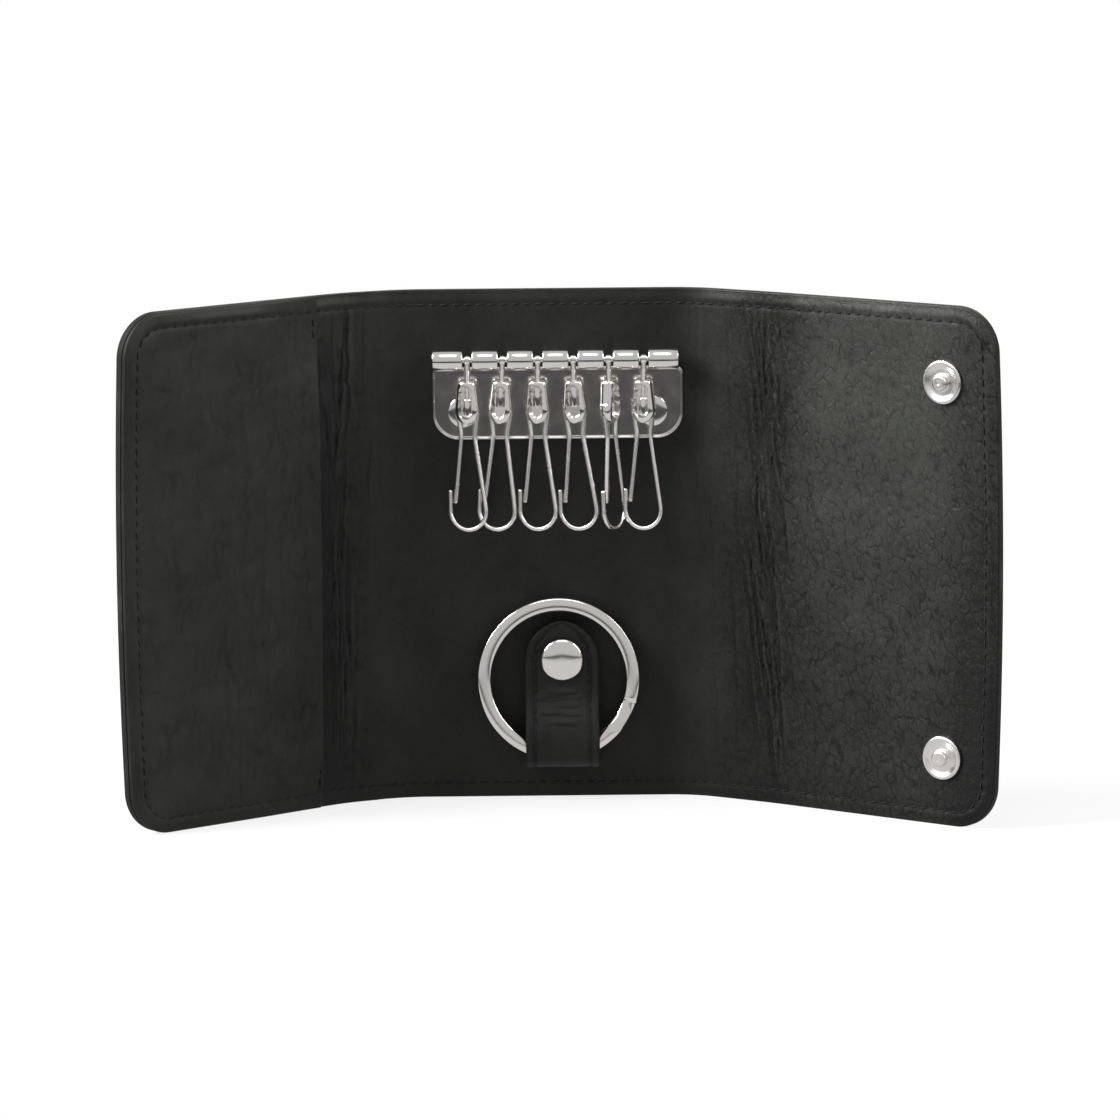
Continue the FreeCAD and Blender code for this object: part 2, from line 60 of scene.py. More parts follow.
# Rail, hooks, ring and strap
hook_x = [-0.35 + (k - 2.5) * 6.9 for k in range(6)]
hook_swing, hook_lean = 3.5, (0.0, -2.46, -0.35, 1.74, 1.87, -0.5)
hook_turn = (18.5, 18.5, 18.0, 16.0, -55.0, 19.5)
head_top = (7.6, 5.2, 5.2, 5.2, 5.2, 7.6)
head_bottom = (11.0, 9.3, 9.3, 9.3, 9.3, 11.0)
rod_y, rod_z, wire_radius = -4.3, 87.5, 0.45
rail_start, rail_end = -24.42, 23.72
ring_x, ring_lean, ring_drop = -0.2, 5.4, 13.3312
loop_y, loop_z, loop_radius = -5.3486, 10.85, 3.0486
strap_x, strap_half, strap_thick = 0.5, 7.25, 1.1
flap_y, flap_upper_y, flap_pivot_z = -8.9471, -5.15, 12.6
strap_shoulder, strap_top, snap_z, back_y = 27.8, 35.8, 28.2, -1.75
snap_zs = (13.3, 86.3)
stud_run, socket_run = right_folds[1][0] + 40.5, left_folds[1][0] + 16.5


class Value:
    """A socket that takes part in arithmetic. Each operation adds a Math node."""

    def __init__(self, finish, socket):
        self.finish, self.socket = finish, socket

    def maths(self, operation, *others):
        """Math node on this value and others."""
        return self.finish.node("ShaderNodeMath", {"operation": operation}, dict(enumerate((self,) + others)))

    def __add__(self, other):
        return self.maths("ADD", other)

    def __mul__(self, other):
        return self.maths("MULTIPLY", other)

    def __sub__(self, other):
        return self.maths("SUBTRACT", other)

    def __rsub__(self, other):
        return self.maths("MULTIPLY", -1.0).maths("ADD", other)

    __radd__, __rmul__ = __add__, __mul__


class Finish:
    """One material, or the world. Its node method makes every node."""

    def __init__(self, name, kind="materials"):
        self.holder = getattr(bpy.data, kind).new(name)
        self.holder.use_nodes = True
        self.tree = self.holder.node_tree
        self.tree.nodes.clear()

    def node(self, kind, settings, sockets, out=0):
        """Node of a type: settings first, then the values or links of its sockets. Gives one output."""
        made = self.tree.nodes.new(kind)
        for key, value in settings.items():
            setattr(made, key, value)
        for key, value in sockets.items():
            if isinstance(value, Value):
                self.tree.links.new(value.socket, made.inputs[key])
            else:
                made.inputs[key].default_value = value
        return Value(self, made.outputs[out]) if len(made.outputs) else None

    def place(self):
        """Object coordinates, in metres."""
        return self.node("ShaderNodeTexCoord", {}, {}, "Object")

    def ray(self, kind):
        """1 for rays of a kind, else 0."""
        return self.node("ShaderNodeLightPath", {}, {}, "Is %s Ray" % kind)

    def step(self, value, low, high, start=0.0, end=1.0):
        """Smooth change from start to end as a value goes from low to high."""
        return self.node("ShaderNodeMapRange", {"interpolation_type": "SMOOTHSTEP"},
                         {"Value": value, "From Min": low, "From Max": high, "To Min": start, "To Max": end})

    def scaled(self, vector, x, y, z=1.0):
        """Vector times a factor on each axis."""
        return self.node("ShaderNodeVectorMath", {"operation": "MULTIPLY"}, {0: vector, 1: (x, y, z)})

    def noise(self, vector, scale, detail=2.0, rough=0.5, out=0):
        """Noise of about so many blotches per unit of the vector. Output 1 is its colour."""
        return self.node("ShaderNodeTexNoise", {"noise_dimensions": "3D"},
                         {"Vector": vector, "Scale": scale, "Detail": detail, "Roughness": rough}, out)

    def edge_gap(self, vector, scale):
        """Distance to the nearest border of Voronoi cells."""
        return self.node("ShaderNodeTexVoronoi", {"feature": "DISTANCE_TO_EDGE"},
                         {"Vector": vector, "Scale": scale})

    def mix(self, factor, first, second):
        """Colour between two colours."""
        return self.node("ShaderNodeMix", {"data_type": "RGBA"}, {0: factor, 6: first, 7: second}, 2)

    def bump(self, relief, strength, distance):
        """Normal bent by a relief whose height is a distance in metres."""
        return self.node("ShaderNodeBump", {}, {"Height": relief, "Strength": strength, "Distance": distance})

    def surface(self, **sockets):
        """Principled surface from its sockets, spaces in their names written as underscores."""
        named = {key.replace("_", " "): value for key, value in sockets.items()}
        shader = self.node("ShaderNodeBsdfPrincipled", {}, named)
        self.node("ShaderNodeOutputMaterial", {}, {"Surface": shader})
        return self


def shade(level, warm=0.0):
    """Grey of a level, with a share more red and less blue."""
    return (level * (1 + warm), level, level * (1 - warm), 1.0)


def black(level):
    """Near black of the leather, a little green."""
    return (level * 0.97, level * 1.02, level * 0.88, 1.0)


def leather_finish(name, pebbled, tone, size=1.75, stretch=0.75, slope=0.0, whole=0.25):
    """Grained leather on the flat map of the hide, in mm.

    Pebbles are domes over Voronoi cells of a size in mm, slanted by the slope
    and parted by thin cracks. Smaller cells and pores lie over them, and the
    crease value of the mesh paints shade into the troughs of the modelled relief
    and, where it is negative, light onto their swells. Whole
    is the least strength that the cracks keep.
    Pebbled and tone give the strength of the pebbles and the tone from s and z;
    the lining's tone holds painted light and shade.
    """
    f = Finish(name)
    mm = f.scaled(f.node("ShaderNodeUVMap", {"uv_map": "hide"}, {}), 100, 100)
    s, z = (f.node("ShaderNodeSeparateXYZ", {}, {0: mm}, out) for out in (0, 1))
    share = pebbled(f, s, z)
    # crease value: painted shade in the troughs of the relief, painted light on its swells
    crease_shade = f.node("ShaderNodeAttribute", {"attribute_name": "crease_shade"}, {}, "Fac")
    slanted = f.node("ShaderNodeCombineXYZ", {}, {0: s + z * slope, 1: z * stretch})
    drift = f.noise(mm, 0.5, 3, 0.55, out=1)
    bent = f.node("ShaderNodeVectorMath", {"operation": "MULTIPLY_ADD"},
                  {0: drift, 1: (1.5, 1.5, 0.0), 2: slanted})
    gap = f.edge_gap(bent, 1 / size)
    patchy = f.step(f.noise(mm, 0.42, 2), 0.38, 0.62, whole, 1.0)
    dome = f.step(gap, 0.0, 0.34)
    crack = (1 - f.step(gap, 0.0, 0.1)) * patchy
    fine = f.step(f.edge_gap(bent, 2.3 / size), 0.0, 0.22)
    pores = f.noise(mm, 4.2, 4, 0.65)
    cloud = f.noise(mm, 0.07, 3)
    # the lining's tone and the crease value are painted light and shade; cloud, pores, fine cells and cracks
    # are the leather's own marks
    tone_grain_and_shade = (tone(f, s, z) + f.step(cloud, 0.3, 0.7, -0.05, 0.05) + (pores - 0.5) * 0.14
            + (fine - 1) * (share * 0.09) - share * crack * 0.28 - crease_shade * 0.6)
    relief = share * (dome * patchy * 0.6 + fine * 0.2) + pores * 0.12
    return f.surface(Base_Color=f.mix(tone_grain_and_shade, black(0.002), black(0.045)),
                     Roughness=0.5 + (pores - 0.5) * 0.2 + crease_shade * 0.3, Specular_IOR_Level=0.2,
                     Normal=f.bump(relief, 0.5, 0.00018))


def nickel_finish(name, level, rough, brushed=0.0):
    """Bright nickel: faint smudges in its gloss, and straight brush marks where asked."""
    f = Finish(name)
    place = f.place()
    smudge = f.noise(place, 420, 3)
    marks = f.noise(f.scaled(place, 300, 9000, 9000), 1.0, 2)
    fleck = f.noise(place, 5200, 2)
    return f.surface(Base_Color=f.mix(smudge, shade(level * 0.93, 0.03), shade(level, 0.03)), Metallic=1.0,
                     Roughness=rough + (smudge - 0.5) * 0.1 + marks * brushed,
                     Normal=f.bump(marks * (brushed * 2) + fleck * 0.12, 0.12, 0.00003))


def thread_finish():
    """Waxed black thread with a twist."""
    f = Finish("thread_black")
    twist = f.noise(f.place(), 5200, 2)
    return f.surface(Base_Color=f.mix(twist, shade(0.005), shade(0.013)), Roughness=0.6 + twist * 0.2,
                     Specular_IOR_Level=0.2, Normal=f.bump(twist, 0.5, 0.00008))


def edge_finish():
    """Painted leather edge: smooth, slightly wavy, rubbed a little grey."""
    f = Finish("edge_paint")
    place = f.place()
    wave = f.noise(place, 700, 3)
    rub = f.step(f.noise(place, 160, 3), 0.45, 0.75)
    return f.surface(Base_Color=f.mix(rub, black(0.006), black(0.014)), Roughness=0.55 + wave * 0.14,
                     Specular_IOR_Level=0.15, Normal=f.bump(wave, 0.3, 0.00015))


def board_finish():
    """Grey-brown fibre board, mottled."""
    f = Finish("fibre_board")
    mottle = f.noise(f.scaled(f.place(), 900, 900, 300), 1.0, 4)
    return f.surface(Base_Color=f.mix(mottle, (0.2, 0.17, 0.13, 1), (0.34, 0.3, 0.24, 1)), Roughness=0.85,
                     Normal=f.bump(mottle, 0.3, 0.0001))


def along_hide(first, last, start, end):
    """Value for leather_finish that changes smoothly along s, and not up z."""
    return lambda f, s, z: f.step(s, first, last, start, end)


def lining_tone_light_shade(f, s, z):
    """Tone of the lining with painted light and shade: a dark centre, painted shade darkest beside the
    pocket's mouth, and painted light on the right wing.

    Painted shade darkens the right fold a little, and the wing's painted light fades downward and
    towards its edge.
    """
    # painted light: the right wing lighter, most towards its top and least at its outer edge
    wing = f.step(s, 44, 60) * (f.step(z, 0, 100, 0.06, 0.4) - f.step(s, 80, 94, 0.0, 0.24))
    # painted shade on the lining beside the pocket's mouth, fading out near the top
    mouth = f.step(s, -34, -46, 0.0, -0.12) * f.step(z, 84, 95, 1.0, 0.0)
    # painted shade over the right fold, half of it kept on the wing beyond
    return 0.19 - f.step(s, 30, 40, 0.0, 0.06) + f.step(s, 45, 54, 0.0, 0.03) + wing + mouth


def pocket_tone(f, s, z):
    """Tone of the pocket: a little darker at its mouth and towards its foot."""
    return f.step(s, -50, -66, 0.19, 0.22) - f.step(z, 0, 40, 0.03, 0.0)


lining_leather = leather_finish("leather_lining", along_hide(28, 46, 0.2, 1.0), lining_tone_light_shade, size=1.7,
                                stretch=0.62, slope=0.25)
pocket_leather = leather_finish("leather_pocket", along_hide(-48, -90, 0.26, 0.18), pocket_tone, stretch=0.4)
shell_leather = leather_finish("leather_shell", along_hide(-90, 90, 1.0, 1.1), along_hide(-90, 90, 0.36, 0.4),
                               size=1.6, stretch=0.8, whole=0.7)
strap_leather = leather_finish("leather_strap", along_hide(-9, 9, 0.12, 0.16), along_hide(-9, 9, 0.14, 0.16))
edge_paint, thread = edge_finish(), thread_finish()
nickel = nickel_finish("nickel_bright", 0.8, 0.13)
nickel_satin = nickel_finish("nickel_satin", 0.8, 0.26)
nickel_wire = nickel_finish("nickel_wire", 0.88, 0.26)
nickel_plate = nickel_finish("nickel_plate", 0.76, 0.13, 0.03)
fibre = board_finish()


def grid_faces(index, wrap=False):
    """Quads between the rows and columns of an index grid. Wrap joins the last column to the first."""
    if wrap:
        index = np.column_stack([index, index[:, 0]])
    return np.stack([index[:-1, :-1], index[:-1, 1:], index[1:, 1:], index[1:, :-1]], -1).reshape(-1, 4)


def tube(points):
    """Closed shell from rings of points: a band between them and a flat face at each end."""
    index = np.arange(points.shape[0] * points.shape[1]).reshape(points.shape[:2])
    return points.reshape(-1, 3), [grid_faces(index, True), index[:1], index[-1:, ::-1]]


def outward(points, faces):
    """Faces of a closed shell, turned round where its signed volume is negative."""
    volume = 0.0
    for face in faces:
        for i in range(1, face.shape[1] - 1):
            corners = np.cross(points[face[:, i]], points[face[:, i + 1]])
            volume += np.einsum("ij,ij->", points[face[:, 0]], corners)
    return faces if volume > 0 else [face[:, ::-1] for face in faces]


def build(name, shells, finishes, crisp=45):
    """Object from closed shells of (points in mm, faces, finish numbers, flat map, crease)."""
    points, faces, numbers, flats, creases, first = [], [], [], [], [], 0
    for shell in shells:
        place, shell_faces = shell[:2]
        shell_numbers = shell[2] if len(shell) > 2 else [0] * len(shell_faces)
        for face, number in zip(outward(place, shell_faces), shell_numbers):
            faces += (face + first).tolist()
            numbers += [number] * len(face)
        points.append(place)
        flats.append(shell[3] if len(shell) > 3 else np.zeros((len(place), 2)))
        creases.append(shell[4] if len(shell) > 4 else np.zeros(len(place)))
        first += len(place)
    mesh = bpy.data.meshes.new(name)
    mesh.from_pydata((np.concatenate(points) * 0.001).tolist(), [], faces)
    mesh.polygons.foreach_set("material_index", np.array(numbers, np.int32))
    corner_points = np.zeros(len(mesh.loops), np.int32)
    mesh.loops.foreach_get("vertex_index", corner_points)
    mesh.uv_layers.new(name="hide").data.foreach_set("uv", np.concatenate(flats)[corner_points].ravel())
    mesh.attributes.new("crease_shade", "FLOAT", "POINT").data.foreach_set("value", np.concatenate(creases))
    mesh.shade_smooth()
    mesh.set_sharp_from_angle(angle=math.radians(crisp))
    for finish in finishes:
        mesh.materials.append(finish.holder)
    made = bpy.data.objects.new(name, mesh)
    bpy.context.scene.collection.objects.link(made)
    return made


def stands(piece, slot, body, *nodes):
    """The piece rides on a body in place of nodes."""
    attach(piece, body)
    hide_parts(*nodes)


def ease(value, low, high):
    """Smooth step from 0 at low to 1 at high."""
    t = np.clip((value - low) / (high - low), 0, 1)
    return t * t * (3 - 2 * t)


def ripple(x, y, seed, short, long, waves=7):
    """Sum of sine waves with set directions, lengths and phases, mostly within -1 to 1."""
    dice = np.random.default_rng(seed)
    total = 0.0
    for turn, length, phase in zip(dice.uniform(0, np.pi, waves), dice.uniform(short, long, waves),
                                   dice.uniform(0, 2 * np.pi, waves)):
        total = total + np.sin(2 * np.pi * (x * np.cos(turn) + y * np.sin(turn)) / length + phase)
    return total / math.sqrt(waves)


def case_line(s):
    """Plan place and outward normal of the hide's middle at s: straight runs with an arc at each fold."""
    s = np.asarray(s, float)
    side, run = np.where(s < 0, -1.0, 1.0), np.abs(s)
    x, y, turn = run.copy(), np.zeros_like(run), np.zeros_like(run)
    for sign, folds in ((-1.0, left_folds), (1.0, right_folds)):
        knee, heading, last = np.zeros(2), 0.0, 0.0
        for place, degrees, reach in folds:
            bend = math.radians(degrees)
            ahead = np.array([math.cos(heading), -math.sin(heading)])
            knee, last = knee + (place - last) * ahead, place
            radius = reach / math.tan(bend / 2)
            hub = knee - reach * ahead - radius * np.array([math.sin(heading), math.cos(heading)])
            now = heading + bend * np.clip((run - place + reach) / (2 * reach), 0, 1)
            over = np.maximum(run - place - reach, 0)
            bent = (side == sign) & (run > place - reach)
            x = np.where(bent, hub[0] + radius * np.sin(now) + over * np.cos(now), x)
            y = np.where(bent, hub[1] + radius * np.cos(now) - over * np.sin(now), y)
            turn = np.where(bent, now, turn)
            heading += bend
    return side * x, y, side * np.sin(turn), np.cos(turn)


def on_case(s, q, z):
    """Place of a point at s along the hide, q out of its middle towards the back, and z up."""
    x, y, nx, ny = case_line(s)
    return np.stack(np.broadcast_arrays(x + q * nx, y + q * ny, z), -1)


def run_along(line):
    """Length along a line of points, from its start to each of them."""
    return np.concatenate([[0], np.cumsum(np.linalg.norm(np.diff(line, axis=0), axis=1))])


def spread(line, shares):
    """Points at shares of the way along a line of points, or a count of them evenly spaced."""
    run = run_along(line)
    even = run[-1] * (np.linspace(0, 1, shares) if np.ndim(shares) == 0 else shares)
    return np.stack([np.interp(even, run, line[:, i]) for i in range(line.shape[1])], -1)


def wing_sides(cut, outer, inset):
    """Bottom, outer and top side of a wing at an inset from its outline, meeting half way round its corners."""
    edge = outer - bulge
    reach = height / 2 - corner
    big = (reach ** 2 + bulge ** 2) / (2 * bulge)

    def turn(low, high, hub, radius):
        """Arc between two angles."""
        a = np.radians(np.linspace(low, high, 40))
        return np.stack([hub[0] + radius * np.cos(a), hub[1] + radius * np.sin(a)], -1)
    low_hub, high_hub = (edge - corner, corner), (edge - corner, height - corner)
    sweep = math.degrees(math.asin(reach / big))
    bottom = np.vstack([[[cut, inset]], turn(-90, -45, low_hub, corner - inset)])
    outside = np.vstack([turn(-45, 0, low_hub, corner - inset),
                         turn(-sweep, sweep, (outer - big, height / 2), big - inset)[1:-1],
                         turn(0, 45, high_hub, corner - inset)])
    top = np.vstack([turn(45, 90, high_hub, corner - inset), [[cut, height - inset]]])
    return bottom, outside, top


def wing_grid(cut, outer, inset, rows, columns):
    """Coons patch over a wing: sides blended across, less the blend of the four corners.

    Its columns stand closer towards the fold.
    """
    bottom, outside, top = wing_sides(cut, outer, inset)
    across = np.linspace(0, 1, columns) ** 1.45
    low, far, high = spread(bottom, across), spread(outside, rows), spread(top[::-1], across)
    near = np.stack([np.full(rows, float(cut)), np.linspace(inset, height - inset, rows)], -1)
    u, v = across[None, :, None], np.linspace(0, 1, rows)[:, None, None]
    return ((1 - v) * low[None] + v * high[None] + (1 - u) * near[:, None] + u * far[:, None]
            - (1 - u) * (1 - v) * low[0] - u * (1 - v) * low[-1] - (1 - u) * v * high[0] - u * v * high[-1])


def from_outline(run, z, outer):
    """Distance inside the outline of a wing, or of the long band where outer is far off."""
    side = np.stack([run - (outer - bulge * (2 * z / height - 1) ** 2 - corner),
                     np.abs(z - height / 2) - (height / 2 - corner)])
    past = np.maximum(side, 0)
    return corner - np.hypot(past[0], past[1]) - np.minimum(side.max(0), 0)


def rounded(front_q, back_q, inset):
    """Edge of a layer: a quarter round at its face and a wall down to the glue line, as (out, q)."""
    way = 1 if back_q > front_q else -1
    arc = [(inset * math.sin(math.radians(a)), front_q + way * inset * (1 - math.cos(math.radians(a))))
           for a in (18, 36, 54, 72, 90)]
    return arc + [(inset, back_q)]


def hide(name, grid, side, edge, face_q, rear_q, relief, crease_shade, cuts, finish):
    """Closed layer of leather over a grid of (run, z).

    The face is the grid raised by its relief, the rear is the plain grid, an
    edge profile joins them round the free sides, and cut sides are closed flat.
    """
    rows, columns = grid.shape[:2]
    s, z = side * grid[..., 0], grid[..., 1]
    way = 1.0 if rear_q > face_q else -1.0
    face = np.arange(rows * columns).reshape(rows, columns)
    rear = face + rows * columns
    points = [on_case(s, q, z).reshape(-1, 3) for q in (face_q - way * relief, np.full_like(s, rear_q))]
    flats = [np.stack([s, z], -1).reshape(-1, 2)] * 2
    faces, numbers = [grid_faces(face), grid_faces(rear)[:, ::-1]], [0, 0]
    if cuts == "near":
        turns = np.concatenate([face[0], face[1:, -1], face[-1, -2::-1]])
        rims = [(turns, False)]
    elif cuts == "both":
        rims = [(face[0], False), (face[-1, ::-1], False)]
    else:
        rims = [(np.concatenate([face[0], face[1:, -1], face[-1, -2::-1], face[-2:0:-1, 0]]), True)]
    flat_grid, count, ends = grid.reshape(-1, 2), 2 * rows * columns, []
    rise = 1 + (relief / abs(rear_q - face_q)).reshape(-1)
    for rim, closed in rims:
        line = flat_grid[rim]
        along = np.roll(line, -1, 0) - np.roll(line, 1, 0) if closed else np.gradient(line, axis=0)
        along /= np.linalg.norm(along, axis=1)[:, None]
        out = np.stack([along[:, 1], -along[:, 0]], -1)
        strip = [rim]
        for push, q in edge:
            place = line + push * out
            points.append(on_case(side * place[:, 0], rear_q + (q - rear_q) * rise[rim], place[:, 1]))
            flats.append(np.stack([side * place[:, 0], place[:, 1]], -1))
            strip.append(np.arange(count, count + len(rim)))
            count += len(rim)
        strip = np.array(strip + [rim + rows * columns])
        faces += [grid_faces(strip[:5], closed), grid_faces(strip[4:], closed)]
        numbers += [0, 1]
        ends.append((strip[1:-1, 0], strip[1:-1, -1]))
    if cuts == "near":
        start, stop = ends[0]
        faces.append(np.concatenate([face[::-1, 0], start, rear[:, 0], stop[::-1]])[None])
        numbers.append(1)
    elif cuts == "both":
        (low_start, low_stop), (high_start, high_stop) = ends
        faces.append(np.concatenate([face[::-1, 0], low_start, rear[:, 0], high_stop[::-1]])[None])
        faces.append(np.concatenate([face[:, -1], high_start, rear[::-1, -1], low_stop[::-1]])[None])
        numbers += [1, 1]
    points = np.concatenate(points)
    shade_in = np.concatenate([crease_shade.reshape(-1), np.zeros(len(points) - crease_shade.size)])
    shell = (points, faces, numbers, np.concatenate(flats) / 100, shade_in)
    return build(name, [shell], [finish, edge_paint], 60)


def cell_edges(x, y, seed):
    """Distance to the border of jittered unit cells: half the gap between the two nearest seeds."""
    spots = np.random.default_rng(seed).uniform(0.08, 0.92, (64, 64, 2))
    column, row = np.floor(x).astype(int), np.floor(y).astype(int)
    near, second = np.full(x.shape, 9.0), np.full(x.shape, 9.0)
    for i in (-1, 0, 1):
        for j in (-1, 0, 1):
            spot = spots[(column + i) % 64, (row + j) % 64]
            gap = np.hypot(column + i + spot[..., 0] - x, row + j + spot[..., 1] - y)
            second = np.minimum(second, np.maximum(near, gap))
            near = np.minimum(near, gap)
    return (second - near) / 2


def wrinkles(s, z, across, along, seed):
    """Depth 0 to 1 of creases between wandering cells. A slow field keeps only part of them deep."""
    x = s + 0.9 * ripple(s, z, seed + 1, 7, 17) + 0.35 * ripple(s, z, seed + 2, 2.5, 6)
    y = z + 0.9 * ripple(s, z, seed + 3, 7, 17) + 0.35 * ripple(s, z, seed + 4, 2.5, 6)
    deep = 1 - ease(cell_edges(x / across, y / along, seed), 0.0, 0.2)
    return deep * np.clip(0.55 + 0.45 * ripple(s, z, seed + 5, 6, 22), 0.05, 1.2)


def furrows(s, z, rows, soft=9.0, wander=1.0):
    """Troughs that wander up the leather, each with a soft swell beside it.

    Gives their relief and their painted shade, darker in each trough and painted lighter on the
    swell. Rows are (place, width, depth, low, high, slope), and soft is the length of their fading ends.
    """
    total, deep = np.zeros_like(s), np.zeros_like(s)
    for k, (place, width, depth, low, high, slope) in enumerate(rows):
        line = place + slope * (z - (low + high) / 2) + wander * (
            0.5 * ripple(z, 0 * z, 40 + k, 25, 70, 4) + 0.35 * ripple(z, 0 * z, 80 + k, 5, 13, 4)
            + 0.14 * ripple(z, 0 * z, 120 + k, 1.6, 4, 4))
        fade = ease(z, low, low + soft) * (1 - ease(z, high - soft, high))
        fade = fade * np.clip(0.85 + 0.35 * ripple(z, 0 * z, 60 + k, 8, 30, 4), 0.2, 1.3)
        across = (s - line) / width
        trough, swell = fade * np.exp(-across ** 2), fade * np.exp(-(across / 2.6 - 0.75) ** 2)
        total += depth * (0.6 * swell - trough)
        # painted shade in each trough and painted light on the swell beside it
        deep += depth * (1.7 * trough - 0.6 * swell)
    return 0.5 * np.tanh(total / 0.5), deep


def strands(seed, count, places, depths, slopes):
    """Rows of fine fold creases for furrows, drawn between pairs of limits and spread over the height."""
    dice = np.random.default_rng(seed)
    middle = np.linspace(6, height - 6, count) + dice.uniform(-4, 4, count)
    reach = dice.uniform(11, 21, count)
    return np.stack([dice.uniform(*places, count), dice.uniform(0.24, 0.32, count),
                     dice.uniform(*depths, count), middle - reach, middle + reach,
                     dice.uniform(*slopes, count)], -1)


left_furrows = np.vstack([strands(31, 30, (-49.2, -42.0), (0.12, 0.24), (-0.14, 0.14)),
                          strands(32, 8, (-43, -35), (0.03, 0.07), (-0.04, 0.04))])
right_furrows = np.vstack([strands(33, 44, (40.6, 47.2), (0.20, 0.38), (-0.19, -0.06)),
                           strands(34, 10, (28, 41), (0.04, 0.10), (-0.06, 0.02)),
                           strands(35, 10, (46, 54), (0.06, 0.14), (-0.24, -0.10))])


def seam_dip(inside):
    """Groove along the seam, and the leather thinned towards its rim."""
    return -0.12 * np.exp(-((inside - seam_inset) / 0.45) ** 2) - 0.32 * (1 - ease(inside, 0.2, 2.3))


def inside_relief(s, z):
    """Relief and painted shade of the lining: seam groove, fold furrows, pebbles, and the mouth's painted
    shadow.
    """
    inside = from_outline(np.abs(s), z, np.where(s < 0, left_outer, right_outer))
    pebbled = 0.14 + 0.86 * ease(s, 34, 52)
    net = ease(-s, 36, 42) + 0.8 * ease(s, 36, 42) * (1 - ease(s, 46, 56))
    pebble, tall = wrinkles(s, z, 2.3, 2.9, 50), wrinkles(s, z, 1.5, 4.6, 60)
    wave = 0.09 * ripple(s, z, 3, 14, 34) + 0.03 * ripple(s, z, 4, 4, 9, 9)
    left, left_trough_shade = furrows(s, z, left_furrows, wander=0.6)
    right, right_trough_shade = furrows(s, z, right_furrows, wander=0.6)
    # painted shadow on the lining beside the pocket's mouth
    shadow = 0.35 * ease(-s, 44.5, 49.2) * ease(z, 2, 6) * (1 - ease(z, 91, 95))
    fade, calm = ease(inside, 0.4, 2.2), ease(inside, 2.2, 6.0)
    rest = wave + (left + right) * calm - 0.06 * pebbled * pebble - 0.05 * net * tall
    # painted shade: darker pebble and wrinkle troughs and furrows, lighter swells, and the mouth's painted
    # shadow
    crease_shade = 0.1 * pebbled * pebble + 0.15 * net * tall + (left_trough_shade + right_trough_shade) * calm + shadow
    return seam_dip(inside) + rest * fade, np.clip(crease_shade * fade, -0.3, 1)


def outside_relief(s, z):
    """Relief and crease of the outer leather: seam groove, even pebbles and slow waves."""
    inside = from_outline(np.abs(s), z, np.where(s < 0, left_outer, right_outer))
    pebble = wrinkles(s, z, 2.1, 2.3, 150)
    wave = 0.07 * ripple(s, z, 13, 16, 40) + 0.03 * ripple(s, z, 14, 5, 11, 9)
    fade = ease(inside, 0.4, 2.2)
    # the second value is painted shade in the pebbles' troughs
    return seam_dip(inside) + (wave - 0.13 * pebble) * fade, 0.35 * pebble * fade


def pocket_relief(s, z):
    """Relief and crease of the pocket: its mouth lifts at mid height and is pressed flat at its ends."""
    run = np.abs(s)
    inside = from_outline(run, z, left_outer)
    mouth = run - pocket_mouth
    lift = 0.6 * np.exp(-mouth / 6) * np.sin(np.pi * np.clip(z / height, 0, 1)) ** 1.5
    lines = ((-54.5, 0.5, 0.05, 12, 90, 0.0), (-59, 0.5, 0.05, 30, 97, 0.03), (-63.5, 0.5, 0.05, 8, 72, 0.0),
             (-68, 0.5, 0.05, 25, 95, -0.03), (-73, 0.6, 0.04, 10, 60, 0.0), (-79, 0.6, 0.04, 40, 96, 0.02),
             (-85, 0.6, 0.03, 15, 80, 0.0))
    tall = wrinkles(s, z, 2.2, 7.0, 260)
    folds, deep = furrows(s, z, lines)
    wave = 0.08 * ripple(s, z, 23, 14, 34) + 0.03 * ripple(s, z, 24, 4, 10, 9) + folds - 0.035 * tall
    fade = ease(inside, 0.4, 2.2)
    pressed = np.maximum(ease(z, height - 24, height - 5), 1 - ease(z, 2.5, 12)) * (1 - ease(mouth, 0.5, 16))
    relief = seam_dip(inside) + (wave * ease(mouth, 0.3, 3) + lift) * fade
    # the second value is painted shade in the pocket's wrinkles and folds
    return relief * (1 - pressed) - 0.98 * pressed, np.clip((0.14 * tall + deep) * fade, -0.2, 1)


def at(s):
    """Point on the hide's middle at half its height, in metres."""
    return Vector(on_case(np.array(s), 0.0, np.array(height / 2)) * 0.001)


# Grid counts of the skins, roundings of their edges, and the pocket's faces and tacks
row_count, wing_columns, fold_columns, pocket_columns = 232, 180, 84, 128
skin_round, thin_round, pocket_round = 0.36, 0.1, 0.7
pocket_face, pocket_rear = -half - pocket_thick, -half - 0.02
thread_sink = 0.13
tack_run, tack_starts, tack_length = pocket_mouth + 0.9, (4.0, 92.4), 4.8

# Panels of the hide: name, first and last s, the two bodies whose nodes its skins replace, fold and half width
# of the bend
panels = (
    ("left_wing", -left_outer, left_cut, "left_wing", "left_spine", -43.3, 4.5),
    ("left_fold", left_cut, middle_cut, "left_spine", "centre", -30.5, 4.5),
    ("right_fold", middle_cut, right_cut, "centre", "right_spine", 26.5, 5.0),
    ("right_wing", right_cut, right_outer, "right_spine", "right_wing", 43.9, 5.0),
)


def panel_grid(name, first, last, inset):
    """Grid of (run, z) for a panel, its side, and which sides are cut."""
    if name == "left_wing":
        return wing_grid(-last, -first, inset, row_count, wing_columns), -1.0, "near"
    if name == "right_wing":
        return wing_grid(first, last, inset, row_count, wing_columns), 1.0, "near"
    s, z = np.meshgrid(np.linspace(first, last, fold_columns), np.linspace(inset, height - inset, row_count))
    return np.stack([s, z], -1), 1.0, "both"


def around_spots(line, spots):
    """Points of a line just before, at and just after each spot along it."""
    run = run_along(line)
    return [np.stack([np.interp(spots + d, run, column) for column in line.T], -1) for d in (-0.2, 0.0, 0.2)]


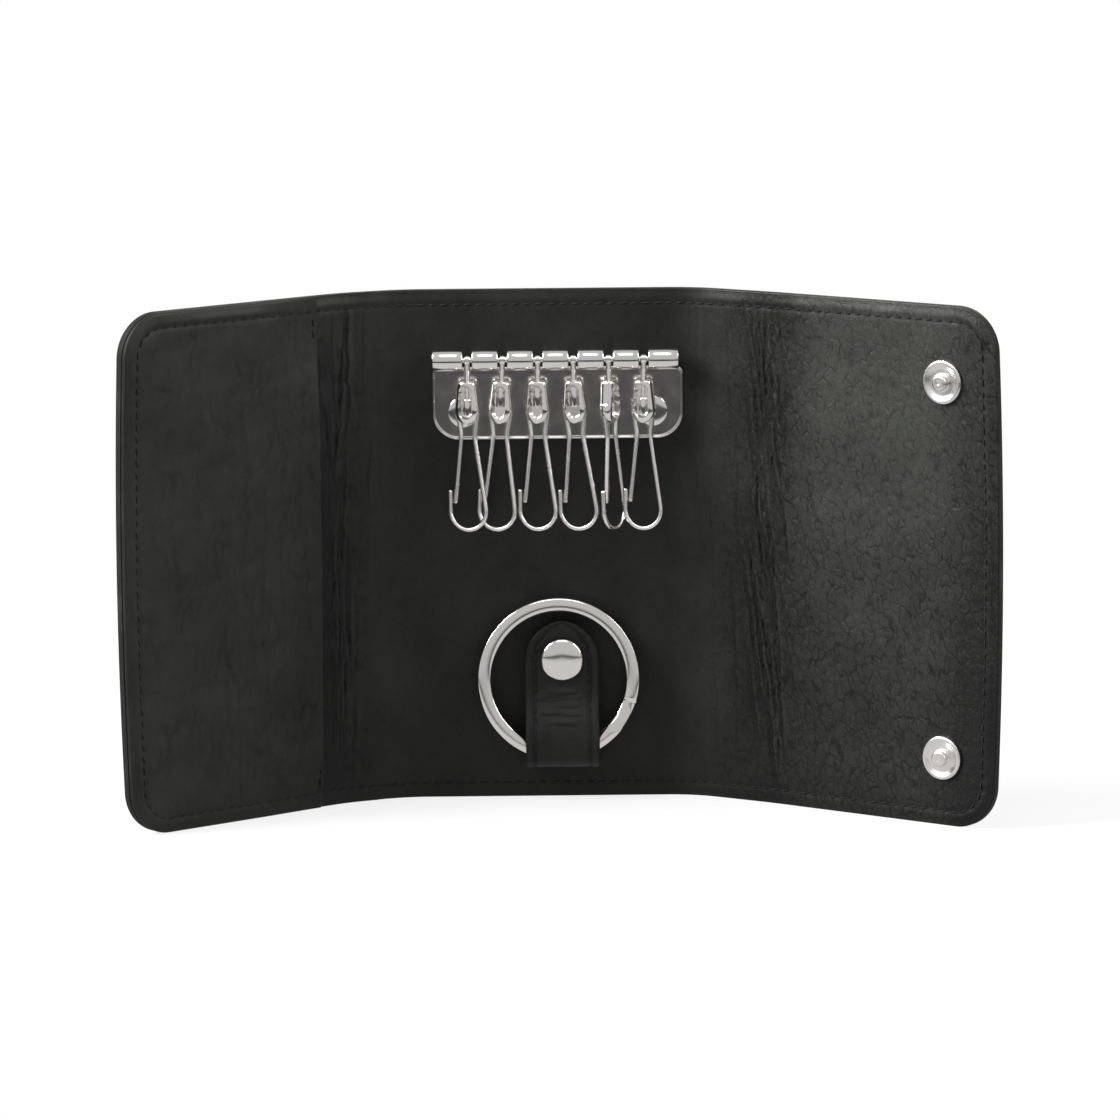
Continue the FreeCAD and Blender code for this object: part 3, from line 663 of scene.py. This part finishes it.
def stitch_row(line, q, way):
    """Stitches along a line of (s, z): short humped threads with their ends sunk into the leather."""
    run = run_along(line)
    spots = np.arange(seam_pitch / 2, run[-1], seam_pitch)
    depth = np.interp(spots, run, np.broadcast_to(q, run.shape))
    flat = around_spots(line, spots)
    before, centre, after = (on_case(place[:, 0], depth, place[:, 1]) for place in flat)
    up = way * np.stack([*case_line(flat[1][:, 0])[2:], np.zeros(len(spots))], -1)
    return sewn(centre, after - before, up, 0.85)


def sewn(centre, along, up, reach):
    """Closed threads at centres: rings along a slightly slanted line, high in the middle, thin at the ends."""
    along = along / np.linalg.norm(along, axis=1)[:, None]
    side = np.cross(up, along)
    along = along + 0.12 * side
    ring = np.radians(np.arange(0, 360, 60))
    spots = np.array([-1.0, -0.62, 0.0, 0.62, 1.0])
    lifts = np.array([-0.16, 0.03, 0.10, 0.03, -0.16])
    girths = 0.18 * np.array([0.5, 0.95, 1.0, 0.95, 0.5])
    points = (centre[:, None, None] + (spots * reach)[None, :, None, None] * along[:, None, None]
              + lifts[None, :, None, None] * up[:, None, None]
              + girths[None, :, None, None] * (np.cos(ring)[:, None] * side[:, None, None]
                                               + np.sin(ring)[:, None] * up[:, None, None]))
    count = len(centre)
    index = np.arange(count * 30).reshape(count, 5, 6)
    one = grid_faces(index[0], True)
    quads = (one[None] + 30 * np.arange(count)[:, None, None]).reshape(-1, 4)
    return points.reshape(-1, 3), [quads, index[:, 0, ::-1], index[:, -1]]


def seam_lines(name, first, last):
    """Seam of a panel as lines of (s, z) at the seam's inset."""
    if name in ("left_wing", "right_wing"):
        side = -1.0 if name == "left_wing" else 1.0
        cut, outer = (-last, -first) if side < 0 else (first, last)
        line = spread(np.vstack(wing_sides(cut, outer, seam_inset)), 900)
        return [line * (side, 1.0)]
    s = np.linspace(first, last, 200)
    return [np.stack([s, np.full(200, z)], -1) for z in (seam_inset, height - seam_inset)]


for name, first, last, body, other, fold, reach in panels:
    start, end = at(fold - reach), at(fold + reach)
    for layer, face_q, relief, finish in (("lining", -half, inside_relief, lining_leather),
                                          ("shell", half, outside_relief, shell_leather)):
        rounding = thin_round if (layer, name) == ("lining", "left_wing") else skin_round
        grid, side, cuts = panel_grid(name, first, last, rounding)
        skin = hide(layer + "_skin_" + name, grid, side, rounded(face_q, glue_q, rounding), face_q, glue_q,
                    *relief(side * grid[..., 0], grid[..., 1]), cuts, finish)
        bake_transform(skin)
        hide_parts(layer + "_" + body, layer + "_" + other)
    threads = []
    for line in seam_lines(name, first, last):
        top_q = np.where(-line[:, 0] > pocket_mouth, pocket_face - pocket_relief(*line.T)[0],
                         -half - inside_relief(*line.T)[0])
        threads += [stitch_row(line, top_q, -1.0), stitch_row(line, half - thread_sink, 1.0)]
    if name == "left_wing":
        for z in tack_starts:
            tack = np.array([[-tack_run, z], [-tack_run, z + tack_length]])
            threads.append(stitch_row(tack, pocket_face - pocket_relief(*tack.T)[0], -1.0))
    seam = build("seam_" + name, threads, [thread], 80)
    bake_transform(seam)

# Slip pocket on the left wing
pocket_grid = wing_grid(pocket_mouth + pocket_round, left_outer, pocket_round, row_count, pocket_columns)
pocket = hide("pocket_skin", pocket_grid, -1.0, rounded(pocket_face, pocket_rear, pocket_round), pocket_face,
              pocket_rear, *pocket_relief(-pocket_grid[..., 0], pocket_grid[..., 1]), "none", pocket_leather)
stands(pocket, "lining_leather", "left_wing", "pocket_panel")


def turned_about(axis, degrees):
    """Rotation matrix about a main axis."""
    a = math.radians(degrees)
    c, s = math.cos(a), math.sin(a)
    return np.array({"x": [[1, 0, 0], [0, c, -s], [0, s, c]], "y": [[c, 0, s], [0, 1, 0], [-s, 0, c]],
                     "z": [[c, -s, 0], [s, c, 0], [0, 0, 1]]}[axis])


def soften(profile, times=2, closed=False):
    """Corner cutting: each corner gives way to points a quarter and three quarters along its sides."""
    profile = np.asarray(profile, float)
    for _ in range(times):
        after = np.roll(profile, -1, 0) if closed else profile[1:]
        before = profile if closed else profile[:-1]
        cut = np.stack([0.75 * before + 0.25 * after, 0.25 * before + 0.75 * after], 1)
        cut = cut.reshape(-1, profile.shape[1])
        profile = cut if closed else np.vstack([profile[:1], cut, profile[-1:]])
    return profile


def lathe(profile, centre, axis, steps=72):
    """Profile of (radius, height) turned about an axis through a centre, its ends closed flat."""
    axis = np.asarray(axis, float) / np.linalg.norm(axis)
    side = np.cross(axis, [0.0, 0.0, 1.0] if abs(axis[2]) < 0.9 else [1.0, 0.0, 0.0])
    side /= np.linalg.norm(side)
    third = np.cross(axis, side)
    a = np.linspace(0, 2 * np.pi, steps, endpoint=False)
    ring = np.cos(a)[:, None] * side + np.sin(a)[:, None] * third
    profile = np.asarray(profile, float)
    profile = profile[profile[:, 0] > 1e-4]
    return tube(np.asarray(centre) + profile[:, 0][:, None, None] * ring[None]
                + profile[:, 1][:, None, None] * axis)


def hoop(loop, centre, axis, steps):
    """Closed profile of (radius, height) turned about an axis into a ring."""
    points = lathe(loop, centre, axis, steps)[0]
    index = np.arange(len(points)).reshape(-1, steps)
    return points, [grid_faces(np.vstack([index, index[:1]]), True)]


def wire(path, radius, across):
    """Round wire of 18 sides: rings about each point of a flat path, with rounded ends."""
    along = np.gradient(path, axis=0)
    along /= np.linalg.norm(along, axis=1)[:, None]
    ends = np.radians([78, 55, 30])
    girth = np.concatenate([radius * np.cos(ends), np.full(len(path), radius), radius * np.cos(ends[::-1])])
    middle = np.vstack([path[0] - 0.5 * radius * np.sin(ends)[:, None] * along[0], path,
                        path[-1] + 0.5 * radius * np.sin(ends[::-1])[:, None] * along[-1]])
    along = np.vstack([np.repeat(along[:1], 3, 0), along, np.repeat(along[-1:], 3, 0)])
    normal = np.cross(along, across)
    a = np.linspace(0, 2 * np.pi, 18, endpoint=False)
    return tube(middle[:, None] + girth[:, None, None] * (np.cos(a)[None, :, None] * normal[:, None]
                                                          + np.sin(a)[None, :, None] * np.asarray(across)))


def squarish(angle, power):
    """Superellipse: cosine and sine of an angle, each raised to a power with its sign kept."""
    return [np.sign(v) * np.abs(v) ** power for v in (np.cos(angle), np.sin(angle))]


def eased(corners, bends):
    """Straight runs through (x, drop) corners with a tangent arc at each inner one."""
    line = [np.asarray(corners[0], float)[None]]
    for i, radius in enumerate(bends):
        a, b, c = (np.asarray(p, float) for p in corners[i:i + 3])
        back, on = (a - b) / np.linalg.norm(a - b), (c - b) / np.linalg.norm(c - b)
        turn = (math.pi - math.acos(np.clip(back @ on, -1, 1))) / 2
        reach = radius * math.tan(turn)
        t = np.linspace(0, 1, 12)[:, None]
        first, last = b + back * reach, b + on * reach
        line.append((1 - t) ** 2 * first + 2 * t * (1 - t) * b + t ** 2 * last)
    return np.vstack(line + [np.asarray(corners[-1], float)[None]])


def placed(shell, turn, shift):
    """Shell turned by a matrix, then shifted."""
    return (shell[0] @ turn.T + shift,) + tuple(shell[1:])


# One hook, hanging from the origin, as in the part
bend_drop, bend_radius = 29.6, 3.65
root_x, root_drop, straight_drop, knee_x, knee_drop = 1.85, 8.9, 11.2, 1.45, 15.1
slant = math.hypot(knee_x, bend_drop - knee_drop)
lean_in = math.atan2(knee_x, bend_drop - knee_drop) + math.acos(bend_radius / slant)
meet = (bend_radius * math.sin(lean_in), bend_drop - bend_radius * math.cos(lean_in))
meet_angle = math.atan2(bend_drop - meet[1], meet[0])
bend_turn = np.radians(np.linspace(math.degrees(meet_angle), -180, 60))[1:]
bend_line = np.stack([bend_radius * np.cos(bend_turn), bend_drop - bend_radius * np.sin(bend_turn)], -1)
stem_line = eased([(root_x, root_drop), (root_x, straight_drop), (knee_x, knee_drop), meet], [3.0, 5.0])
hook_line = np.vstack([stem_line, bend_line, [[-bend_radius, 25.7]]])
gate_x, gate_drop, gate_tip = -1.8, 9.0, (2 * wire_radius + 0.13 - bend_radius, 27.9)
gate_line = eased([(gate_x, gate_drop), (gate_x, straight_drop), (-1.3, knee_drop), gate_tip], [3.0, 5.0])


def hanging(line, count):
    """Line of (x, drop) as evenly spaced points in the hook's plane."""
    even = spread(line, count)
    return np.stack([even[:, 0], np.zeros(count), -even[:, 1]], -1)


def ferrule():
    """Hook body: superellipse sections down a widening outline with a round bottom.

    The front is pressed in at the window.
    """
    top, wide, hub, radius = 4.1, 9.8, 10.04, 2.46
    drop = np.concatenate([[top, top + 0.06, top + 0.16, top + 0.32], np.linspace(top + 0.55, 11.9, 58),
                           [12.1, 12.26, 12.38, 12.46]])
    shut = np.clip((drop - top) / 0.55, 0, 1)
    width = np.where(drop < wide, 1.8 + 0.65 * (drop - top) / (wide - top),
                     np.sqrt(np.maximum(radius ** 2 - (drop - hub) ** 2, 0.02)))
    depth = 1.5 * np.clip(1 - 0.4 * np.clip((drop - 9.0) / 3.5, 0, 1) ** 2.2, 0.3, 1)
    shoulder = 0.5 * (1 - np.sqrt(1 - (1 - shut) ** 2))
    across, forward = squarish(np.linspace(0, 2 * np.pi, 112, endpoint=False), 2 / 2.9)
    x, y = (width - shoulder)[:, None] * across, (depth - shoulder)[:, None] * forward
    down = np.broadcast_to(drop[:, None], x.shape)
    reach = np.clip(down, 6.45, 10.15)
    edge = 1.35 - np.hypot(x, down - reach)
    pressed = ease(edge, 0.0, 0.2) * (y < 0)
    y = np.where(pressed > 0, y * (1 - pressed) - 0.3 * pressed, y)
    return tube(np.stack([x, y, -down], -1))


def eye(top, bottom):
    """Eye round the rod, the post below it and the post's round-edged head."""
    ring = soften([(0.55, -0.55), (0.98, -0.6), (0.98, 0.6), (0.55, 0.55)], 2, True)
    post = [(0.5, 0.62), (0.55, 0.75), (0.55, top)]
    head = [(0.56, top), (0.85, top + 0.02), (0.94, top + 0.07), (0.975, top + 0.2), (0.975, bottom - 0.25),
            (0.93, bottom - 0.1), (0.8, bottom - 0.02), (0.4, bottom)]
    hub, below = (0, 0, 0), (0, 0, -1)
    return [hoop(ring, hub, (1, 0, 0), 48), lathe(post, hub, below, 32), lathe(head, hub, below, 40)]


hook_wire = wire(hanging(hook_line, 150), wire_radius, (0.0, 1.0, 0.0))
hook_gate = wire(hanging(gate_line, 70), wire_radius, (0.0, 1.0, 0.0))
gate_root = lathe(soften([(0.3, -0.8), (0.6, -0.8), (0.6, 0.8), (0.3, 0.8)], 1), (gate_x, 0, -gate_drop),
                  (0, 1, 0), 24)
hook_body = ferrule()
for k in range(6):
    name = "hook_%d_" % (k + 1)
    hang = turned_about("x", -hook_swing) @ turned_about("y", -hook_lean[k])
    turn = hang @ turned_about("z", -hook_turn[k])
    shift = np.array([hook_x[k], rod_y, rod_z])
    for kind, shells, way, body, finish in (
            ("eye", eye(head_top[k], head_bottom[k]), hang, "eye", nickel),
            ("ferrule", [hook_body], turn, "swivel", nickel),
            ("wire", [hook_wire], turn, "swivel", nickel_wire),
            ("gate", [hook_gate, gate_root], turn, "gate", nickel_wire)):
        made = build(name + kind + "_bright", [placed(shell, way, shift) for shell in shells], [finish], 50)
        stands(made, "plated" if kind == "ferrule" else "wire", name + body, name + kind)


def rail_plate():
    """Plate with a raised, rounded rim: a profile of (inset, y) carried round the outline.

    The lower corners are wide and the upper ones small. The face is closed flat.
    """
    left, right, low, high, wide, small = -24.45, 24.65, 71.5, 85.8, 5.2, 1.45
    profile = [(0.25, -1.2), (0.04, -1.26), (0.0, -1.4), (0.0, -1.7), (0.03, -1.8), (0.1, -1.87), (0.2, -1.9),
               (0.3, -1.88), (0.38, -1.82), (0.44, -1.74), (0.52, -1.7), (0.7, -1.7), (1.4, -1.7)]
    corners = ((right - wide, low + wide, wide, -90), (right - small, high - small, small, 0),
               (left + small, high - small, small, 90), (left + wide, low + wide, wide, 180))
    inset, y = np.array(profile).T[:, :, None]
    rings = []
    for hub_x, hub_z, radius, start in corners:
        a = np.radians(np.linspace(start, start + 90, 20))
        x, z = hub_x + (radius - inset) * np.cos(a), hub_z + (radius - inset) * np.sin(a)
        rings.append(np.stack(np.broadcast_arrays(x, y, z), -1))
    return tube(np.concatenate(rings, 1))


def knuckles():
    """Seven rolled knuckles with eased ends, each with a neck down to the plate."""
    gap = 0.92
    starts = [rail_start] + [x + gap for x in hook_x]
    stops = [x - gap for x in hook_x] + [rail_end]
    shells = []
    for x0, x1 in zip(starts, stops):
        length = x1 - x0
        roll = [(0.55, 0.0), (1.9, 0.0), (2.02, 0.05), (2.1, 0.18), (2.1, length - 0.18), (2.02, length - 0.05),
                (1.9, length), (0.55, length)]
        shells.append(lathe(roll, (x0, rod_y, rod_z), (1, 0, 0), 64))
        y, z = np.array([-3.4, -1.22, -1.22, -3.4]), np.array([84.7, 84.7, 87.2, 87.2])
        x = np.array([x0 + 0.1, x1 - 0.1])[:, None]
        shells.append(tube(np.stack(np.broadcast_arrays(x, y[None], z[None]), -1)))
    return shells


rail = build("rail_bright", [rail_plate() + ([1, 1, 1],)] + knuckles(), [nickel, nickel_plate], 40)
stands(rail, "plated", "centre", "rail_plate")
rod_length = rail_end - rail_start
rod_profile = [(0.3, 0.0), (0.46, 0.04), (0.5, 0.12), (0.5, rod_length - 0.12), (0.46, rod_length - 0.04),
               (0.3, rod_length)]
rod = lathe(rod_profile, (rail_start, rod_y, rod_z), (1, 0, 0), 32)
stands(build("rail_rod_bright", [rod], [nickel_wire], 50), "wire", "centre", "rail_rod")
rivet = soften([(1.2, 1.6), (1.2, 0.0), (3.0, 0.0), (2.98, -0.12), (2.7, -0.3), (1.9, -0.42), (0.9, -0.45),
                (0.05, -0.46)])
rivets = [lathe(rivet, (x, -1.7, 76.9), (0, 1, 0)) for x in (-18.5, 18.7)]
stands(build("rail_rivets_bright", rivets, [nickel], 55), "plated", "centre", "rail_rivets")


def split_ring():
    """Flat band wound twice: a rounded box section carried round 333 degrees.

    It then steps back over 24 degrees and goes round again, thinner at both ends.
    """
    inner, outer, thick, lap = 13.3, 16.0, 1.2, 1.3
    across, deep = squarish(np.linspace(0, 2 * np.pi, 36, endpoint=False), 2 / 2.7)
    radius, deep = (inner + outer) / 2 + (outer - inner) / 2 * across, thick / 2 * (1 + deep)
    start, step_back, step_end, stop = -19, 314, 338, 671
    angle = np.concatenate([np.linspace(start, start + 4, 9), np.linspace(start + 4, step_back, 150)[1:],
                            np.linspace(step_back, step_end, 20)[1:], np.linspace(step_end, stop - 4, 150)[1:],
                            np.linspace(stop - 4, stop, 9)[1:]])
    back = ease(angle, step_back, step_end) * (2 * lap - thick) - lap
    a = np.radians(angle)
    from_end = np.minimum(angle - start, stop - angle)
    slim = 0.35 + 0.65 * np.sqrt(1 - (1 - np.clip(from_end / 4, 0, 1)) ** 2)
    contact = np.where(angle < (step_back + step_end) / 2, thick, 0.0)
    depth = contact[:, None] + (deep - contact[:, None]) * slim[:, None]
    return tube(np.stack([radius * np.cos(a)[:, None], depth + back[:, None], radius * np.sin(a)[:, None]], -1))


ring_turn = turned_about("x", -ring_lean)
ring_place = np.array([ring_x, loop_y, loop_z]) + ring_turn @ np.array([0, 0, ring_drop])
ring = build("split_ring_bright", [placed(split_ring(), ring_turn, ring_place)], [nickel], 40)
stands(ring, "wire", "ring", "split_ring")


def strap_width(z, top, shoulder):
    """Half width of the strap at a height: straight, then a pointed round end."""
    t = np.clip((z - shoulder) / (top - shoulder), 0, 1)
    return np.maximum(strap_half * (1 - t ** 2.15) ** 0.58, 0.5)


def ribbon(middle, width, relief):
    """Leather strip: a rounded section across x carried along a line of (y, z).

    Its front is raised by the relief.
    """
    along = np.gradient(middle, axis=0)
    along /= np.linalg.norm(along, axis=1)[:, None]
    front = np.stack([-along[:, 1], along[:, 0]], -1)
    v = np.linspace(-1, 1, 45)
    turn = np.radians([20, 45, 70, 90, 110, 135, 160])
    rim, deep = 0.34, strap_thick / 2
    run = run_along(middle)
    inner = (width - rim)[:, None]
    lift, dark = relief(v[None] * inner, middle[:, 1][:, None], run[:, None])
    side_out, side_up = rim * np.sin(turn), np.sign(np.cos(turn)) * (deep - rim) + rim * np.cos(turn)
    x = np.concatenate([v[None] * inner, inner + side_out, v[None, ::-1] * inner, -inner - side_out[::-1]], 1)
    right, left = (np.broadcast_to(up, (len(run), len(turn))) for up in (side_up, side_up[::-1]))
    q = np.concatenate([deep + lift, right, np.full_like(lift, -deep), left], 1)
    points = np.stack([strap_x + x, middle[:, :1] + q * front[:, :1], middle[:, 1:] + q * front[:, 1:]], -1)
    index = np.arange(x.size).reshape(x.shape)
    around = grid_faces(index, True)
    spot, rear = around[:, 0] % x.shape[1], len(v) + len(turn)
    edge = (spot >= len(v) - 1) & ~((spot >= rear) & (spot < rear + len(v) - 1))
    flat = np.stack([x, np.broadcast_to(run[:, None], x.shape)], -1).reshape(-1, 2) / 100
    faces = [around[~edge], around[edge], index[:1], index[-1:, ::-1]]
    crease_shade = np.concatenate([dark, np.zeros((len(run), x.shape[1] - dark.shape[1]))], 1)
    return points.reshape(-1, 3), faces, [0, 1, 1, 1], flat, crease_shade.ravel()


def strap_line(z):
    """Middle of the flap at a height: from the front of the loop in to the snapped upper end."""
    return flap_y + (flap_upper_y - flap_y) * ease(z, flap_pivot_z - 0.8, 22.6)


dice = np.random.default_rng(9)
cross_folds = np.stack([dice.uniform(low, high, 18) for low, high in (
    (15.0, 21.8), (0.2, 0.3), (0.06, 0.16), (-5.6, -0.5), (0.5, 5.6), (-0.06, 0.06))], -1)


def flap_relief(x, z, run):
    """Cross wrinkles below the snap, a dip round its cap, and seam grooves near the sides."""
    x, z, run = np.broadcast_arrays(x, z, run)
    folds, deep = furrows(z, x, cross_folds, 1.6, 0.3)
    total = 0.04 * ripple(x, run, 33, 4, 11, 9) + folds
    total = total - 0.22 * np.exp(-((np.hypot(x, z - snap_z) - 4.2) / 1.2) ** 2)
    side = strap_width(z, strap_top, strap_shoulder) - np.abs(x)
    groove = np.exp(-((side - 1.8) / 0.45) ** 2)
    # the second value is painted shade in the cross wrinkles and the seam grooves
    return total - 0.11 * groove, np.clip(deep * 0.6 + 0.3 * groove, -0.3, 1)


def back_relief(x, z, run):
    """Faint ripple of the back layer."""
    return 0.02 * ripple(x, run, 35, 4, 11, 9), 0 * x * run


loop_turn, loop_reach = np.radians(np.linspace(0, -180, 50)), loop_radius + strap_thick / 2
loop_line = np.stack([loop_y + loop_reach * np.cos(loop_turn), loop_z + loop_reach * np.sin(loop_turn)], -1)
flap_z = np.concatenate([np.linspace(loop_z, 33.0, 110)[1:], np.linspace(33.0, strap_top - 0.05, 40)[1:]])
flap_line = np.stack([strap_line(flap_z), flap_z], -1)
widths = np.concatenate([np.full(len(loop_line), strap_half), strap_width(flap_z, strap_top, strap_shoulder)])
strap_shell = ribbon(np.vstack([loop_line, flap_line]), widths, flap_relief)
strap = build("strap_skin", [strap_shell], [strap_leather, edge_paint], 60)
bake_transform(strap)
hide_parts("strap_loop", "strap_flap")
back_z = np.linspace(loop_z, strap_top - 0.85, 90)
back_line = np.stack([np.full(90, back_y), back_z], -1)
back_shell = ribbon(back_line, strap_width(back_z, strap_top - 0.8, strap_shoulder - 0.8), back_relief)
back = build("strap_back_skin", [back_shell], [strap_leather, edge_paint], 60)
stands(back, "strap_leather", "centre", "strap_back")


def strap_seam():
    """Stitches up both sides of the flap and over its pointed end."""
    shells = []
    for side in (-1.0, 1.0):
        z = np.linspace(13.6, strap_top - 2.6, 400)
        wide = strap_width(z + 0.9 * ease(z, strap_shoulder, strap_top), strap_top - 0.6, strap_shoulder) - 1.9
        line = np.stack([strap_x + side * np.maximum(wide, 0.0), strap_line(z) - strap_thick / 2 + 0.1, z], -1)
        before, centre, after = around_spots(line, np.arange(1.0, run_along(line)[-1], 2.1))
        along = after - before
        up = np.tile([0.0, -1.0, 0.0], (len(along), 1))
        up -= (np.einsum("ij,ij->i", up, along) / np.einsum("ij,ij->i", along, along))[:, None] * along
        up /= np.linalg.norm(up, axis=1)[:, None]
        shells.append(sewn(centre, along, up, 0.78))
    return shells


flap_seam = build("seam_strap", strap_seam(), [thread], 80)
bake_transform(flap_seam)

# Snaps
cap_profile = soften([(1.0, -1.1), (1.0, 0.0), (4.2, 0.0), (4.2, 0.4), (4.02, 0.72), (3.3, 1.08), (2.2, 1.36),
                      (1.1, 1.48), (0.04, 1.5)], 3)
socket_profile = [(3.8, 0.0), (3.8, 1.3), (3.7, 1.55), (3.45, 1.7), (2.1, 1.7), (1.85, 1.62), (1.72, 1.42),
                  (1.72, 0.4)]
knob_profile = [(3.7, 0.0), (3.7, 0.35), (3.55, 0.5), (1.75, 0.5), (1.6, 0.62), (1.6, 1.45), (1.52, 1.68),
                (1.3, 1.77), (0.5, 1.78)]
stud_profile = soften([(4.28, 0.0), (4.3, 0.45), (4.15, 0.7), (3.9, 0.8), (3.6, 0.78), (3.2, 0.6), (2.7, 0.46),
                       (2.2, 0.44), (1.7, 0.46), (1.5, 0.6), (1.6, 0.95), (1.62, 1.4), (1.5, 1.75), (1.2, 1.88),
                       (0.7, 1.9), (0.3, 1.84), (0.05, 1.8)])
wing_profile = [(4.1, 0.0), (4.1, 0.9), (4.02, 1.15), (3.8, 1.28), (2.3, 1.3), (2.02, 1.24), (1.8, 1.1),
                (1.72, 0.9), (1.72, 0.02)]
for kind, profile, y, way, steps, crisp, body in (
        ("cap", cap_profile, flap_upper_y - strap_thick / 2, -1, 96, 50, "flap"),
        ("socket", socket_profile, -4.6, 1, 72, 40, "flap"),
        ("stud", knob_profile, -2.3, -1, 72, 40, "centre")):
    snap = lathe(profile, (strap_x, y, snap_z), (0, way, 0), steps)
    stands(build("snap_" + kind + "_bright", [snap], [nickel], crisp), "plated", body, "strap_snap_" + kind)


def on_wing(run, side, q, profile, way):
    """Two turned snaps on a wing, one low and one high."""
    shells = []
    for z in snap_zs:
        nx, ny = (float(v) for v in case_line(np.array(side * run))[2:])
        centre = on_case(np.array(side * run), q, np.array(z))
        shells.append(lathe(profile, centre, (way * nx, way * ny, 0.0), 80))
    return shells


studs = build("wing_studs_bright", on_wing(stud_run, 1.0, -half, stud_profile, -1.0), [nickel_satin], 40)
stands(studs, "plated", "right_wing", "wing_studs")
sockets = build("wing_sockets_bright", on_wing(socket_run, -1.0, half, wing_profile, 1.0), [nickel], 40)
stands(sockets, "plated", "left_wing", "wing_sockets")

# Nodes that stay as they are get the same finishes
for node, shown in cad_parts.items():
    if not shown.hide_render:
        shown.data.materials.clear()
        shown.data.materials.append((fibre if node.startswith("board") else nickel).holder)


def floor_finish():
    """White floor with a soft shadow near the case. Reflections see a dark band ahead of it."""
    f = Finish("floor_white")
    ahead = 0 - f.node("ShaderNodeSeparateXYZ", {}, {0: f.place()}, 1)
    away = f.node("ShaderNodeVectorMath", {"operation": "LENGTH"}, {0: f.place()}, 1)
    band = f.step(ahead, 0.16, 0.3) * f.step(ahead, 1.2, 2.0, 1.0, 0.0)
    clear = (f.ray("Camera") + f.ray("Transmission")).maths("MINIMUM", 1.0) * f.step(away, 0.06, 0.26, 0.8, 1.0)
    plain = f.node("ShaderNodeBsdfDiffuse", {}, {"Color": shade(0.85)})
    white, mirror = (f.node("ShaderNodeEmission", {}, {"Color": colour, "Strength": 1.0})
                     for colour in (shade(1.0), f.mix(band, shade(0.7), shade(0.07))))
    seen = f.node("ShaderNodeMixShader", {}, {0: clear, 1: plain, 2: white})
    seen = f.node("ShaderNodeMixShader", {}, {0: f.ray("Glossy"), 1: seen, 2: mirror})
    f.node("ShaderNodeOutputMaterial", {}, {"Surface": seen})
    return f


# Floor, light and camera
floor_mesh = bpy.data.meshes.new("floor")
floor_mesh.from_pydata([(-6, -6, 0), (6, -6, 0), (6, 6, 0), (-6, 6, 0)], [], [(0, 1, 2, 3)])
floor_mesh.materials.append(floor_finish().holder)
floor = bpy.data.objects.new("floor", floor_mesh)
bpy.context.scene.collection.objects.link(floor)

studio = Finish("studio", "worlds")
bpy.context.scene.world = studio.holder
glow, gloss, backdrop = (studio.node("ShaderNodeBackground", {}, {"Color": shade(1.0), "Strength": level})
                         for level in (0.06, 0.6, 1.0))
glow = studio.node("ShaderNodeMixShader", {}, {0: studio.ray("Glossy"), 1: glow, 2: gloss})
glow = studio.node("ShaderNodeMixShader", {}, {0: studio.ray("Camera"), 1: glow, 2: backdrop})
studio.node("ShaderNodeOutputWorld", {}, {"Surface": glow})


def lamp(name, place, aim, width, tall, power):
    """Soft rectangular lamp turned towards a point."""
    data = bpy.data.lights.new(name, "AREA")
    data.shape, data.size, data.size_y, data.energy = "RECTANGLE", width, tall, power
    made = bpy.data.objects.new(name, data)
    made.location = place
    made.rotation_euler = (Vector(aim) - Vector(place)).to_track_quat("-Z", "Y").to_euler()
    bpy.context.scene.collection.objects.link(made)


lamp("side_left", (-1.2, -0.3, 0.95), (0, 0, 0.05), 0.8, 0.8, 62.0)
lamp("side_right", (1.15, -0.3, 0.7), (0, 0, 0.05), 0.7, 0.8, 16.0)
lamp("top_front", (0.0, -0.6, 1.1), (0, 0, 0.06), 0.7, 0.5, 2.5)
lamp("back", (0.4, 1.2, 0.9), (0, 0, 0.05), 0.8, 0.8, 8.0)

bpy.context.scene.view_settings.view_transform = "Standard"
distance, sensor, pixel_mm, pixels = 1.268, 36.0, 0.197, 1120
rise, swing, roll = (math.radians(a) for a in (9.036, -0.545, -0.467))
camera_data = bpy.data.cameras.new("camera")
camera_data.sensor_width = sensor
camera_data.lens = sensor * distance * 1000 * 1.0007 / pixel_mm / pixels
camera_data.clip_start, camera_data.clip_end = 0.05, 50
camera = bpy.data.objects.new("camera", camera_data)
toward = Vector((math.sin(swing) * math.cos(rise), -math.cos(swing) * math.cos(rise), math.sin(rise)))
camera.location = Vector((0.0, 0.0, 0.051)) + distance * toward
look = Vector((0.0003, 0.0, 0.04713)) - camera.location
camera.rotation_mode = "QUATERNION"
camera.rotation_quaternion = look.to_track_quat("-Z", "Y") @ Quaternion((0, 0, 1), roll)
bpy.context.scene.collection.objects.link(camera)
bpy.context.scene.camera = camera
